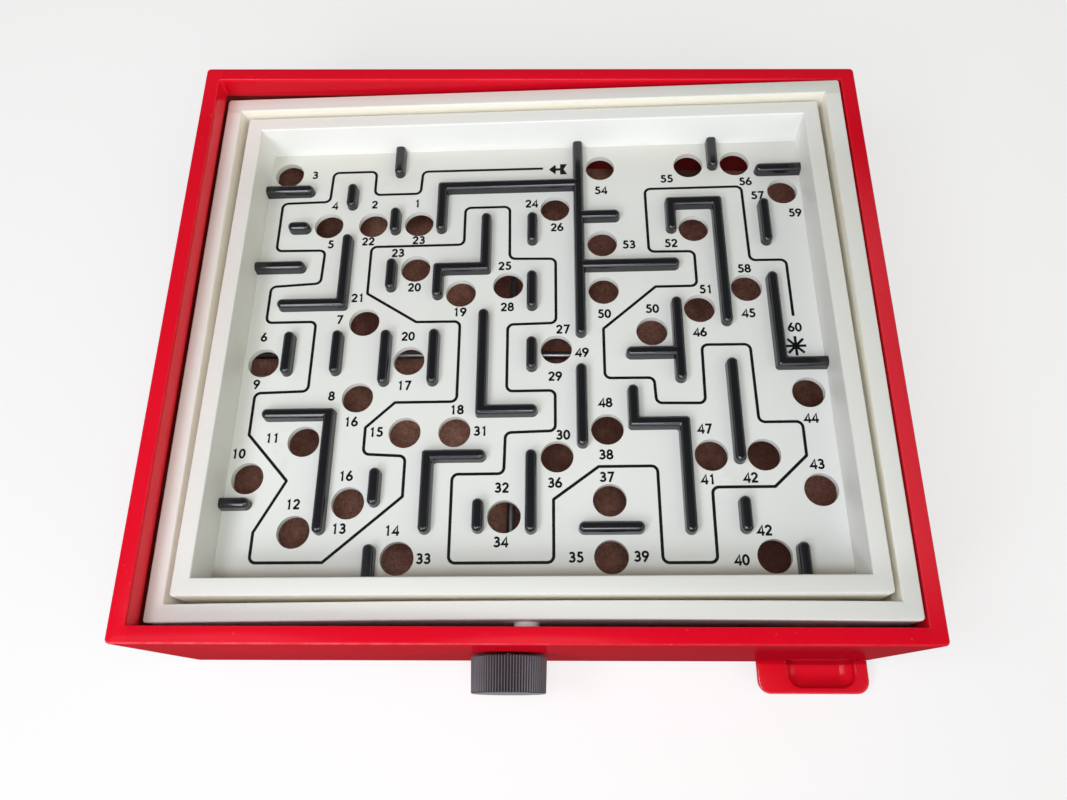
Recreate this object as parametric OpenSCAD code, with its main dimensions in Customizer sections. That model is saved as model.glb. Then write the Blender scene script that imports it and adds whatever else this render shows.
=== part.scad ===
// Tilting marble maze: a red moulded box carries a white frame that rolls from side to side,
// and in it a second frame with the maze board that pitches from front to back.
// Two ribbed knobs turn steel shafts under the board. A cord wound on each shaft pulls its frame.
// The origin is the middle of the box's foot, +X to the right, +Y to the back, +Z up.

/* [Box] */
// Width of the box over its rim
box_w = 325; // [315:1:360]
// Depth of the box over its rim
box_d = 280; // [270:1:310]
// Height of the box
box_h = 92; // [88:1:110]
// Thickness of the moulded walls
wall = 2.5; // [1.8:0.1:3.5]
// How far each wall leans in from the rim to the foot
draft = 1; // [0.4:0.1:2]
// Radius of the box's upright edges
corner_r = 2; // [1:0.5:8]
// Radius of the corners of the rim's opening
open_r = 0.8; // [0.5:0.1:2]
// Width of the flat rim
rim_w = 7; // [6:0.1:9]
// Thickness of the rim
rim_t = 3; // [2:0.1:5]
// Bevel along the rim's outer edge
rim_bevel = 0.8; // [0.3:0.1:1.5]
// Depth of the rim's inner skirt below the rim's top
skirt_h = 12; // [8:0.5:14]
// Thickness of the rim's inner skirt
skirt_t = 2; // [1.5:0.1:3]

/* [Frames] */
// Gap between the rim and the outer frame
outer_gap = 1.8; // [1.6:0.1:3]
// Gap between the outer and the inner frame
inner_gap = 2.7; // [2:0.1:4]
// Width of each frame's top face
frame_w = 7.5; // [6.5:0.1:10]
// Height of both frames
frame_h = 25; // [24:0.5:30]
// How far the level frames sit below the rim
frame_drop = 5.5; // [3:0.5:10]
// Thickness of a frame's two skins
frame_skin = 2; // [1.5:0.1:2.5]
// Thickness of a frame's roof
frame_roof = 2.4; // [1.6:0.1:4]
// Radius of the frames' upright edges
frame_r = 1.5; // [1:0.5:4]
// Roll of the outer frame about Y, right side up when negative
roll = -2.7; // [-4.5:0.1:4.5]
// Pitch of the inner frame about its own X, front up when negative
pitch = -1.5; // [-4.5:0.1:4.5]

/* [Pivots] */
// Diameter of the pivot pins
pin_d = 5; // [4:0.1:6]
// Diameter of the collar that shows in the gap
collar_d = 11; // [9:0.5:13]
// Length of a pin in its own frame
pin_seat = 5; // [4:0.1:5.5]
// Length of a pin in its bearing
journal = 4; // [3:0.1:4.2]
// Width of the solid bearing blocks
bearing_w = 16; // [14:1:20]

/* [Maze board] */
// Depth of the play area below the inner frame's top
play_depth = 20.5; // [19:0.1:21]
// Thickness of the board
board_t = 3; // [2:0.1:3.2]
// Width of the ledge that carries the board
board_lip = 2; // [1.5:0.1:2.2]
// Clearance around the board
board_gap = 0.1; // [0.1:0.05:0.4]
// Distance of the outer columns of holes from the side walls
maze_edge = 9.5; // [9.2:0.1:12]
// Distance of the foremost and rearmost holes from their walls
maze_end = 11.5; // [10:0.1:13]
// Diameter of the holes
hole_d = 14.7; // [13:0.1:14.9]
// Width of the ridges at their foot
ridge_w = 5.4; // [4.6:0.1:5.8]
// Height of the ridges
ridge_h = 5; // [4:0.1:7]
// Radius of the ridges' rounded crown
ridge_crown = 1.7; // [0.8:0.1:1.9]
// How far a ridge's side leans in up to its crown
ridge_lean = 0.3; // [0.1:0.05:0.3]

/* [Knobs and shafts] */
// Place of the front shaft across the box
front_x = -8; // [-14:0.5:-6]
// Depth of the front shaft below the rim
front_drop = 47; // [46:0.5:50]
// Place of the side shaft along the box
side_y = 7; // [4:0.5:12]
// Depth of the side shaft below the rim
side_drop = 56; // [54:0.5:58]
// Diameter of the shafts
shaft_d = 4; // [3:0.1:5]
// Diameter of the knobs over their ribs
knob_d = 33; // [28:0.5:36]
// Length of a knob
knob_l = 15; // [11:0.5:18]
// Gap between a knob and the wall
knob_gap = 1.4; // [1:0.1:4]
// Count of ribs round a knob
knob_ribs = 80; // [48:2:90]
// Depth of the grooves between the ribs
rib_depth = 0.6; // [0.4:0.1:0.8]
// Bevel on a knob's outer edge
knob_bevel = 0.6; // [0.4:0.1:2]
// Thickness of a knob's ribbed wall and of its face
knob_wall = 2.6; // [2:0.1:4]
// Diameter of a knob's hub
hub_d = 9; // [8:0.5:12]
// Diameter of the bosses that carry the shafts
boss_d = 10; // [8:0.5:12]
// Length of those bosses inside the wall
boss_l = 6; // [4:0.5:7]
// Diameter of the push-on retaining clips
clip_d = 9; // [7:0.5:12]
// Thickness of the clips
clip_t = 0.8; // [0.5:0.1:1.5]

/* [Cords and springs] */
// Diameter of the cords
cord_d = 1; // [0.8:0.1:1.2]
// Turns of cord on each shaft
cord_turns = 3; // [2:1:5]
// Step from turn to turn
cord_pitch = 1.6; // [1.6:0.1:2]
// Place of the front shaft's winding along it
front_cord_y = -10; // [-30:1:-10]
// Place of the side shaft's winding along it
side_cord_x = 21.5; // [16:0.5:30]
// Depth of the cord's anchor below a frame
lug_drop = 6.5; // [5:0.5:8]
// Width of an anchor lug
lug_w = 8; // [6:0.5:10]
// Thickness of an anchor lug
lug_t = 3; // [2:0.1:3.5]
// Diameter of the springs' coils between wire centres
spring_d = 4.4; // [3.6:0.1:5]
// Diameter of the spring wire
wire_d = 0.7; // [0.5:0.1:0.8]
// Coils in a spring
spring_coils = 12; // [6:1:14]
// Step from coil to coil
spring_pitch = 1.3; // [1.3:0.05:1.6]

/* [Floor and tray] */
// Thickness of the hardboard floor
floor_t = 3; // [2:0.1:4]
// Height of the floor's upper face at its lowest corner
floor_low = 4.5; // [4.5:0.1:7]
// Fall of the floor to the right in degrees
floor_fall_right = 1.4; // [1:0.1:1.6]
// Fall of the floor to the front in degrees
floor_fall_front = 1.7; // [1:0.1:2]
// Thickness of the ribs under the floor
floor_rib_t = 2; // [1.5:0.1:3]
// Width of the ledge that those ribs give the floor
floor_rib_w = 6; // [4:0.5:10]
// Clearance round the floor
floor_gap = 0.4; // [0.2:0.1:1]
// Distance of the tray's middle from the box's right side
tray_side = 28; // [26.5:0.5:38]
// Width of the tray's flange
tray_w = 52.5; // [50:0.5:56]
// How far the tray stands out of the wall
tray_l = 15; // [13:0.5:18]
// Height of the tray's flange
tray_level = 8; // [7.9:0.1:10]
// Thickness of the flange
tray_t = 2; // [1.5:0.1:3]
// Radius of the flange's front corners
tray_r = 6; // [3:0.5:8]
// Place of the dish to the right of the tray's middle
dish_off = 4; // [0:0.5:4.5]
// Width of the tray's dish
dish_w = 31.5; // [26:0.5:32]
// Radius of the dish's sides, which is its depth
dish_r = 6.4; // [6:0.1:6.4]
// Thickness of the dish
dish_t = 1.6; // [1.2:0.1:1.6]
// Margin of the flange in front of the dish
dish_margin = 3; // [2.5:0.1:4]
// Height of the outlet in the front wall
outlet_h = 17; // [16:0.5:24]
// Clearance of the dish in the outlet
outlet_gap = 0.3; // [0.2:0.05:0.6]

/* [Clearances] */
// Radial clearance of a pin or shaft that turns in its bearing
running = 0.05; // [0.02:0.01:0.08]
// Gap at the end of a pin, shaft or collar
end_gap = 0.3; // [0.2:0.05:0.4]
// Gap between a cord and the shaft it is wound on
cord_gap = 0.15; // [0.1:0.05:0.2]

/* [Hidden] */
$fn = 48;
hull_fn = 32;
slice = 0.2;
past = 1;

RED = [0.80, 0.05, 0.10];
WHITE = [0.91, 0.91, 0.88];
BLACK = [0.05, 0.05, 0.06];
CHARCOAL = [0.13, 0.12, 0.13];
BROWN = [0.30, 0.19, 0.15];
STEEL = [0.74, 0.74, 0.76];
STRING = [0.84, 0.81, 0.72];

open_w = box_w - 2 * rim_w;
open_d = box_d - 2 * rim_w;
outer_w = open_w - 2 * outer_gap;
outer_d = open_d - 2 * outer_gap;
inner_w = outer_w - 2 * (frame_w + inner_gap);
inner_d = outer_d - 2 * (frame_w + inner_gap);
play_w = inner_w - 2 * frame_w;
play_d = inner_d - 2 * frame_w;
pivot_z = box_h - frame_drop - frame_h / 2;
lip_t = frame_h - play_depth - board_t;
board_z = frame_h / 2 - play_depth;
// Steps of the maze's grid, on which the holes reach from column -5.5 to 5.5 and from row -102 to 102
column = (play_w - 2 * maze_edge) / 11;
row = (play_d - 2 * maze_end) / 204;
front_z = box_h - front_drop;
side_z = box_h - side_drop;
lug_z = -frame_h / 2 - lug_drop;
wind_r = shaft_d / 2 + cord_gap + cord_d / 2;
wind_l = cord_turns * cord_pitch;
knob_r = knob_d / 2;
outlet_w = dish_w + 2 * (dish_t + outlet_gap);
tray_x = box_w / 2 - tray_side;
dish_x = tray_x + dish_off;

// Inset of the leaning wall at a height above the foot
function lean_at(z) = draft * (1 - z / box_h);
function face_x(z) = box_w / 2 - lean_at(z);
function face_y(z) = box_d / 2 - lean_at(z);

// Holes of the maze as [columns to the right, rows to the back]
HOLES = [
    [-5.5, 100.8], [-5.5, -8.1], [-5.5, -65.3], [-4.46, 68.7], [-4.47, -48], [-4.47, -90],
    [-3.47, 68.6], [-3.47, 12.8], [-3.47, -26.7], [-3.47, -77.2], [-2.45, 68.5], [-2.46, 42.1],
    [-2.47, -8.2], [-2.46, -44.4], [-2.45, -101.9], [-1.46, 27.6], [-1.47, -44.3], [-0.46, 31.5],
    [-0.46, -83.9], [0.54, 75.5], [0.55, -3.7], [0.55, -56.8], [1.55, 99.7], [1.55, 54.1],
    [1.55, 27.5], [1.54, -44.1], [1.54, -77], [1.54, -101.8], [2.51, 4.9], [3.51, 99.9], [3.52, 61.6],
    [3.51, 16.6], [3.51, -56.9], [4.53, 100.3], [4.51, 27.4], [4.51, -57], [4.51, -101.9], [5.5, 82.4],
    [5.5, -27.5], [5.5, -73.2]
];

// Straight ridges that run to the back, as [column, row of the front end, row of the back end]
LONG_RIDGES = [
    [-4.98, -15.4, 7], [-3.97, 77.6, 91.9], [-3.97, -15.6, 7.2], [-2.96, 61.9, 76.5], [-2.96, 28.9, 46.5],
    [-2.96, -21.5, 7], [-2.96, -79.4, -61.7], [-1.96, -21.7, 7], [-0.95, -91.5, -76.2], [0.05, 53.8, 71.5],
    [0.05, 17, 37.8], [0.05, -15.2, 2], [0.05, -92, -54], [1.05, -53.2, -12.4], [4.04, -61.4, -10.8],
    [4.04, -92.6, -76.3], [5.03, 50.5, 76.2]
];
// Straight ridges that run across, as [left column, right column, row]
CROSS_RIDGES = [[-5.33, -4.84, 66.5], [0.94, 2.18, -89.6]];
// Free ends of the stubs from each wall
LEFT_STUBS = [[-4.85, 89], [-4.84, 43.5], [-5.33, -77.5]];
RIGHT_STUBS = [[4.93, 94.5]];
BACK_STUBS = [[-2.95, 97], [4.04, 96.1]];
FRONT_STUBS = [[-2.96, -96], [5.01, -96.3]];

// Bent ridges as lists of corners and ends on the grid
CORNER_BACK_LEFT = [[-3.97, 61.3], [-3.97, 22], [-5.34, 22]];
CORNER_FRONT_LEFT = [[-5.34, -35.5], [-3.97, -35.5], [-3.97, -91.6]];
CORNER_FRONT = [[-0.82, -56.4], [-1.96, -56.4], [-1.96, -91.7]];
CORNER_MIDDLE = [[-0.95, 17.2], [-0.95, -35], [0.18, -35]];
CORNER_RIGHT = [[5.03, 34.2], [5.03, -13.6]];
STEP_LEFT = [[-0.95, 71.7], [-0.95, 40.5], [-1.95, 40.5], [-1.95, 24]];
STEP_RIGHT = [[2.06, -23.5], [2.06, -42], [3.03, -42], [3.03, -92.7]];
HOOK = [[3.04, 58.7], [3.04, 75.5], [4.04, 75.5], [4.04, 6.7]];
TEE_STEM = [[3.03, 21.6], [3.03, -22.1]];
TEE_ARM = [[3.03, -7], [1.95, -7]];
START_TRUNK_END = [1.06, 2];
START_BAR = [[1.06, 88.5], [-1.94, 88.5], [-1.94, 62]];
START_ARMS = [[[1.06, 69], [1.95, 69]], [[1.06, 40.4], [3.16, 40.4]]];

// Rectangle with round corners
module plate(w, d, r) {
    square([w - 2 * r, d], center = true);
    square([w, d - 2 * r], center = true);
    for (x = [-1, 1], y = [-1, 1]) translate([x * (w / 2 - r), y * (d / 2 - r)]) circle(r);
}

// Ring of plates, t wide
module ring(w, d, t, r) {
    difference() {
        plate(w, d, r);
        plate(w - 2 * t, d - 2 * t, max(r - t, 0.5));
    }
}

// Turns what is drawn about the pivots into the outer frame's place
module on_outer() { translate([0, 0, pivot_z]) rotate([0, roll, 0]) children(); }

// The same for the inner frame, which hangs in the outer one
module on_inner() { on_outer() rotate([pitch, 0, 0]) children(); }

function turn_x(p, a) = [p.x, p.y * cos(a) - p.z * sin(a), p.y * sin(a) + p.z * cos(a)];
function turn_y(p, a) = [p.x * cos(a) + p.z * sin(a), p.y, -p.x * sin(a) + p.z * cos(a)];
function outer_point(p) = turn_y(p, roll) + [0, 0, pivot_z];
function inner_point(p) = outer_point(turn_x(p, pitch));

// Drafted block with the box's outline, inset on every side
module box_block(inset, low, high) {
    hull() {
        for (z = [low, high - slice])
            translate([0, 0, z]) linear_extrude(slice)
                plate(2 * (face_x(max(z, 0)) - inset), 2 * (face_y(max(z, 0)) - inset),
                      max(corner_r - inset, 0.6), $fn = hull_fn);
    }
}

// Outer form of the box, bevelled along the rim's outer edge
module box_form() {
    hull() {
        linear_extrude(slice) plate(2 * face_x(0), 2 * face_y(0), corner_r, $fn = hull_fn);
        translate([0, 0, box_h - rim_bevel - slice]) linear_extrude(slice)
            plate(box_w, box_d, corner_r, $fn = hull_fn);
        translate([0, 0, box_h - slice]) linear_extrude(slice)
            plate(box_w - 2 * rim_bevel, box_d - 2 * rim_bevel, corner_r, $fn = hull_fn);
    }
}

// Block behind the rim that takes a pivot pin of the outer frame
module pin_block(side) {
    back = box_d / 2 - wall / 2 - lean_at(pivot_z);
    low = pivot_z - bearing_w / 2;
    y0 = side > 0 ? open_d / 2 : -back;
    translate([-bearing_w / 2, y0, low]) cube([bearing_w, back - open_d / 2, box_h - rim_t / 2 - low]);
}

// Half-space above the floor's upper face, lowered by drop
module above_floor(drop) {
    span = 2 * (box_w + box_d);
    translate([face_x(0) - wall, -face_y(0) + wall, floor_low - drop])
        rotate([floor_fall_front, floor_fall_right, 0])
            translate([-span / 2, -span / 2, 0]) cube([span, span, span]);
}

// Ribs on the walls that carry the floor, cut to its slope
module floor_ribs() {
    deep = floor_rib_w + wall / 2;
    tall = box_h / 2;
    step_x = box_w / 5;
    step_y = box_d / 5;
    difference() {
        union() {
            for (i = [-2 : 2]) translate([i * step_x - floor_rib_t / 2, face_y(0) - wall / 2 - deep, 0])
                cube([floor_rib_t, deep, tall]);
            for (i = [-2 : 1]) translate([i * step_x - floor_rib_t / 2, -face_y(0) + wall / 2, 0])
                cube([floor_rib_t, deep, tall]);
            for (i = [-1.5 : 1 : 1.5], x = [face_x(0) - wall / 2 - deep, -face_x(0) + wall / 2])
                translate([x, i * step_y - floor_rib_t / 2, 0]) cube([deep, floor_rib_t, tall]);
        }
        above_floor(floor_t);
    }
}

// Arched outlet in the front wall, from the foot up
module outlet() {
    r = outlet_w / 5;
    translate([dish_x, -face_y(0) + wall + past, 0]) rotate([90, 0, 0])
    linear_extrude(wall + draft + 2 * past) {
        translate([-outlet_w / 2, -past]) square([outlet_w, outlet_h - r + past]);
        translate([-outlet_w / 2 + r, -past]) square([outlet_w - 2 * r, outlet_h + past]);
        for (x = [-1, 1]) translate([x * (outlet_w / 2 - r), outlet_h - r]) circle(r);
    }
}

module box_shell() {
    bore_r = shaft_d / 2 + running;
    boss_y = box_d / 2 - wall - boss_l;
    boss_x = box_w / 2 - wall - boss_l;
    color(RED) difference() {
        union() {
            difference() {
                box_form();
                box_block(wall, -past, box_h - rim_t);
                translate([0, 0, box_h - rim_t - past]) linear_extrude(rim_t + 2 * past)
                    plate(open_w, open_d, open_r);
            }
            translate([0, 0, box_h - skirt_h]) linear_extrude(skirt_h - rim_t / 2)
                ring(open_w + 2 * skirt_t, open_d + 2 * skirt_t, skirt_t, open_r + skirt_t);
            for (side = [-1, 1]) pin_block(side);
            floor_ribs();
            for (a = [90, -90]) translate([front_x, a > 0 ? -boss_y : boss_y, front_z])
                rotate([a, 0, 0]) cylinder(d = boss_d, h = face_y(front_z) - wall / 2 - boss_y);
            for (a = [90, -90]) translate([a > 0 ? boss_x : -boss_x, side_y, side_z])
                rotate([0, a, 0]) cylinder(d = boss_d, h = face_x(side_z) - wall / 2 - boss_x);
        }
        for (a = [90, -90]) translate([0, a > 0 ? -open_d / 2 : open_d / 2, pivot_z]) rotate([a, 0, 0])
            translate([0, 0, -past]) cylinder(r = pin_d / 2 + running, h = journal + end_gap + past);
        translate([front_x, -boss_y + past, front_z]) rotate([90, 0, 0])
            cylinder(r = bore_r, h = boss_l + wall + 2 * past);
        translate([front_x, boss_y - past, front_z]) rotate([-90, 0, 0])
            cylinder(r = bore_r, h = boss_l + past);
        translate([boss_x - past, side_y, side_z]) rotate([0, 90, 0])
            cylinder(r = bore_r, h = boss_l + wall + 2 * past);
        translate([-boss_x + past, side_y, side_z]) rotate([0, -90, 0])
            cylinder(r = bore_r, h = boss_l + past);
        outlet();
    }
}

// Hardboard sheet that leads a dropped ball to the outlet
module sloped_floor() {
    inset = wall + floor_gap;
    color(BROWN) difference() {
        intersection() {
            translate([0, 0, -box_h]) linear_extrude(2 * box_h)
                plate(2 * (face_x(0) - inset), 2 * (face_y(0) - inset), max(corner_r - wall, 0.6));
            above_floor(floor_t);
        }
        above_floor(0);
    }
}

// Dish of the tray, r in radius at its ends and bottom, which runs through the wall
module dish(r, front, back) {
    half = dish_w / 2 - dish_r;
    hull() for (x = [-half, half]) {
        translate([dish_x + x, front, tray_level]) sphere(r, $fn = hull_fn);
        translate([dish_x + x, back, tray_level]) rotate([90, 0, 0])
            cylinder(r = r, h = slice, $fn = hull_fn);
    }
}

module ball_tray() {
    seat = -face_y(tray_level);
    tip = seat - tray_l;
    inside = -face_y(0) + wall;
    dish_front = tip + dish_margin + dish_r;
    color(RED) difference() {
        union() {
            translate([tray_x - tray_w / 2, seat - tray_l / 2, tray_level - tray_t])
                cube([tray_w, tray_l / 2, tray_t]);
            translate([tray_x, seat - tray_l / 2, tray_level - tray_t]) linear_extrude(tray_t)
                plate(tray_w, tray_l, tray_r);
            intersection() {
                dish(dish_r + dish_t, dish_front, inside);
                translate([dish_x - dish_w, tip, 0]) cube([2 * dish_w, inside - tip, tray_level]);
            }
        }
        dish(dish_r, dish_front, inside + past);
    }
}

// Frame of inverted channel section about the pivots
module channel(w, d) {
    translate([0, 0, -frame_h / 2]) difference() {
        linear_extrude(frame_h) ring(w, d, frame_w, frame_r);
        translate([0, 0, -past]) linear_extrude(frame_h - frame_roof + past)
            ring(w - 2 * frame_skin, d - 2 * frame_skin, frame_w - 2 * frame_skin,
                 max(frame_r - frame_skin, 0.5));
    }
}

// Solid block in the channel of one side, wide along the side, centred at x
module channel_block(x, wide) {
    thick = frame_w - frame_skin;
    translate([x - thick / 2, -wide / 2, -frame_h / 2]) cube([thick, wide, frame_h - frame_roof / 2]);
}

// Lug below a frame's side with a hole for the cord, centred at x
module lug(x) {
    channel_block(x, lug_w);
    translate([x - lug_t / 2, -lug_w / 2, lug_z]) cube([lug_t, lug_w, lug_drop + frame_roof]);
    translate([x - lug_t / 2, 0, lug_z]) rotate([0, 90, 0]) cylinder(d = lug_w, h = lug_t);
}

module lug_hole(x) {
    translate([x - frame_w, 0, lug_z]) rotate([0, 90, 0]) cylinder(d = 2 * cord_d, h = 2 * frame_w);
}

module outer_frame() {
    mid_x = (outer_w - frame_w) / 2;
    mid_y = (outer_d - frame_w) / 2;
    color(WHITE) on_outer() difference() {
        union() {
            channel(outer_w, outer_d);
            for (x = [-mid_x, mid_x]) channel_block(x, bearing_w);
            for (y = [-mid_y, mid_y]) rotate([0, 0, 90]) channel_block(y, bearing_w);
            translate([0, front_cord_y, 0]) lug(-mid_x);
            translate([0, front_cord_y + wind_l, 0]) lug(mid_x);
        }
        for (a = [90, -90]) translate([0, (a > 0 ? -1 : 1) * (outer_d / 2 + past), 0])
            rotate([-a, 0, 0]) cylinder(d = pin_d, h = pin_seat + end_gap + past);
        for (a = [90, -90]) translate([(a > 0 ? 1 : -1) * (outer_w / 2 - frame_w - past), 0, 0])
            rotate([0, a, 0]) cylinder(r = pin_d / 2 + running, h = journal + end_gap + past);
        translate([0, front_cord_y, 0]) lug_hole(-mid_x);
        translate([0, front_cord_y + wind_l, 0]) lug_hole(mid_x);
    }
}

// Pivot pin along Z: seat below, collar in the gap, journal above
module pivot_pin(gap) {
    color(WHITE) {
        translate([0, 0, -pin_seat]) cylinder(d = pin_d, h = pin_seat + gap + journal);
        cylinder(d = collar_d, h = gap - end_gap);
    }
}

module outer_pivot_front() {
    on_outer() translate([0, -outer_d / 2, 0]) rotate([90, 0, 0]) pivot_pin(outer_gap);
}
module outer_pivot_rear() {
    on_outer() translate([0, outer_d / 2, 0]) rotate([-90, 0, 0]) pivot_pin(outer_gap);
}
module inner_pivot_left() {
    on_inner() translate([-inner_w / 2, 0, 0]) rotate([0, -90, 0]) pivot_pin(inner_gap);
}
module inner_pivot_right() {
    on_inner() translate([inner_w / 2, 0, 0]) rotate([0, 90, 0]) pivot_pin(inner_gap);
}

module inner_frame() {
    mid_x = (inner_w - frame_w) / 2;
    mid_y = (inner_d - frame_w) / 2;
    color(WHITE) on_inner() difference() {
        union() {
            channel(inner_w, inner_d);
            translate([0, 0, -frame_h / 2]) linear_extrude(lip_t)
                ring(play_w + frame_skin, play_d + frame_skin, board_lip + frame_skin / 2, frame_r);
            for (x = [-mid_x, mid_x]) channel_block(x, bearing_w);
            translate([side_cord_x, 0, 0]) rotate([0, 0, 90]) lug(-mid_y);
            translate([side_cord_x + wind_l, 0, 0]) rotate([0, 0, 90]) lug(mid_y);
        }
        for (a = [90, -90]) translate([(a > 0 ? -1 : 1) * (inner_w / 2 + past), 0, 0])
            rotate([0, a, 0]) cylinder(d = pin_d, h = pin_seat + end_gap + past);
        translate([side_cord_x, 0, 0]) rotate([0, 0, 90]) lug_hole(-mid_y);
        translate([side_cord_x + wind_l, 0, 0]) rotate([0, 0, 90]) lug_hole(mid_y);
    }
}

module maze_board() {
    color(WHITE) on_inner() translate([0, 0, board_z - board_t]) linear_extrude(board_t) difference() {
        plate(play_w - 2 * board_gap, play_d - 2 * board_gap, max(frame_r, 0.5));
        for (h = HOLES) translate([h.x * column, h.y * row]) circle(d = hole_d);
    }
}

// Half of a ridge's section, from its middle outwards
function ridge_half() = let (w = ridge_w / 2, cx = w - ridge_lean - ridge_crown, cz = ridge_h - ridge_crown)
    concat([[w, 0]], [for (a = [0 : 30 : 90]) [cx + ridge_crown * cos(a), cz + ridge_crown * sin(a)]]);

// Round end of a ridge, pointing along +X
module ridge_end() {
    rotate([0, 0, -90]) rotate_extrude(angle = 180)
        polygon(concat([[0, 0]], ridge_half(), [[0, ridge_h]]));
}

// Round post of a ridge's section, which turns the outside of a bend
module ridge_post() {
    rotate_extrude() polygon(concat([[0, 0]], ridge_half(), [[0, ridge_h]]));
}

// Straight piece of ridge along +X from 0 to l
module ridge_run(l) {
    half = ridge_half();
    other = [for (i = [len(half) - 1 : -1 : 0]) [-half[i].x, half[i].y]];
    rotate([90, 0, 90]) linear_extrude(l) polygon(concat(half, other));
}

// Ridge along a list of points, with a post at each bend and, where asked, round free ends
module ridge(points, round_start = true, round_end = true) {
    n = len(points) - 1;
    w = ridge_w / 2;
    for (i = [0 : n - 1]) {
        d = points[i + 1] - points[i];
        head = i == 0 && round_start ? w : 0;
        tail = i == n - 1 && round_end ? w : 0;
        l = norm(d) - head - tail;
        translate(points[i]) rotate([0, 0, atan2(d.y, d.x)]) translate([head, 0, 0]) {
            ridge_run(l);
            if (head > 0) rotate([0, 0, 180]) ridge_end();
            if (tail > 0) translate([l, 0, 0]) ridge_end();
            if (i > 0) ridge_post();
        }
    }
}

function on_grid(points) = [for (p = points) [p.x * column, p.y * row]];

module on_board() { color(BLACK) on_inner() translate([0, 0, board_z]) children(); }

module ridge_bars() {
    on_board() {
        for (r = LONG_RIDGES) ridge(on_grid([[r[0], r[1]], [r[0], r[2]]]));
        for (r = CROSS_RIDGES) ridge(on_grid([[r[0], r[2]], [r[1], r[2]]]));
    }
}

module ridge_stubs() {
    on_board() {
        for (p = on_grid(LEFT_STUBS)) ridge([[-play_w / 2, p.y], p], round_start = false);
        for (p = on_grid(RIGHT_STUBS)) ridge([[play_w / 2, p.y], p], round_start = false);
        for (p = on_grid(BACK_STUBS)) ridge([[p.x, play_d / 2], p], round_start = false);
        for (p = on_grid(FRONT_STUBS)) ridge([[p.x, -play_d / 2], p], round_start = false);
    }
}

module ridge_corner_back_left() { on_board() ridge(on_grid(CORNER_BACK_LEFT)); }
module ridge_corner_front_left() { on_board() ridge(on_grid(CORNER_FRONT_LEFT)); }
module ridge_corner_front() { on_board() ridge(on_grid(CORNER_FRONT)); }
module ridge_corner_middle() { on_board() ridge(on_grid(CORNER_MIDDLE)); }
module ridge_corner_right() {
    corner = on_grid(CORNER_RIGHT);
    on_board() ridge(concat(corner, [[play_w / 2, corner[1].y]]), round_end = false);
}
module ridge_step_left() { on_board() ridge(on_grid(STEP_LEFT)); }
module ridge_step_right() { on_board() ridge(on_grid(STEP_RIGHT)); }
module ridge_hook() { on_board() ridge(on_grid(HOOK)); }
module ridge_tee() {
    on_board() {
        ridge(on_grid(TEE_STEM));
        ridge(on_grid(TEE_ARM), round_start = false);
    }
}
module ridge_start() {
    trunk = on_grid([START_TRUNK_END])[0];
    on_board() {
        ridge([[trunk.x, play_d / 2], trunk], round_start = false);
        ridge(on_grid(START_BAR), round_start = false);
        for (arm = START_ARMS) ridge(on_grid(arm), round_start = false);
    }
}

// Ribbed knob along Z, its open side at 0 and its face at knob_l
module knob() {
    outline = [for (i = [0 : 2 * knob_ribs - 1])
        let (a = i * 180 / knob_ribs, r = knob_r - (i % 2) * rib_depth) [r * cos(a), r * sin(a)]];
    hub_back = -knob_gap + end_gap;
    color(CHARCOAL) difference() {
        union() {
            difference() {
                intersection() {
                    linear_extrude(knob_l) polygon(outline);
                    rotate_extrude() polygon([
                        [0, 0], [knob_r + past, 0], [knob_r + past, knob_l - knob_bevel - past],
                        [knob_r - knob_bevel, knob_l], [0, knob_l]
                    ]);
                }
                translate([0, 0, -past]) cylinder(r = knob_r - knob_wall, h = knob_l - knob_wall + past);
            }
            translate([0, 0, hub_back]) cylinder(d = hub_d, h = knob_l - knob_wall / 2 - hub_back);
        }
        translate([0, 0, hub_back - past]) cylinder(d = shaft_d, h = knob_l - knob_wall - hub_back + past);
    }
}

module front_knob() { translate([front_x, -face_y(front_z) - knob_gap, front_z]) rotate([90, 0, 0]) knob(); }
module side_knob() { translate([face_x(side_z) + knob_gap, side_y, side_z]) rotate([0, 90, 0]) knob(); }

// Shaft along Z from the blind bearing to the bottom of the knob's bore
module shaft(half_box, face) {
    far = half_box - wall - end_gap;
    near = face + knob_gap + knob_l - knob_wall - end_gap;
    color(STEEL) translate([0, 0, -far]) cylinder(d = shaft_d, h = far + near);
}

module front_shaft() {
    translate([front_x, 0, front_z]) rotate([90, 0, 0]) shaft(box_d / 2, face_y(front_z));
}
module side_shaft() {
    translate([0, side_y, side_z]) rotate([0, 90, 0]) shaft(box_w / 2, face_x(side_z));
}

// Push-on clip that keeps a shaft from being pulled out
module clip() {
    color(STEEL) difference() {
        cylinder(d = clip_d, h = clip_t);
        translate([0, 0, -past]) cylinder(d = shaft_d, h = clip_t + 2 * past);
    }
}

module front_clip() {
    translate([front_x, -(box_d / 2 - wall - boss_l - end_gap), front_z]) rotate([-90, 0, 0]) clip();
}
module side_clip() {
    translate([box_w / 2 - wall - boss_l - end_gap, side_y, side_z]) rotate([0, -90, 0]) clip();
}

function unit(v) = v / norm(v);

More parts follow.
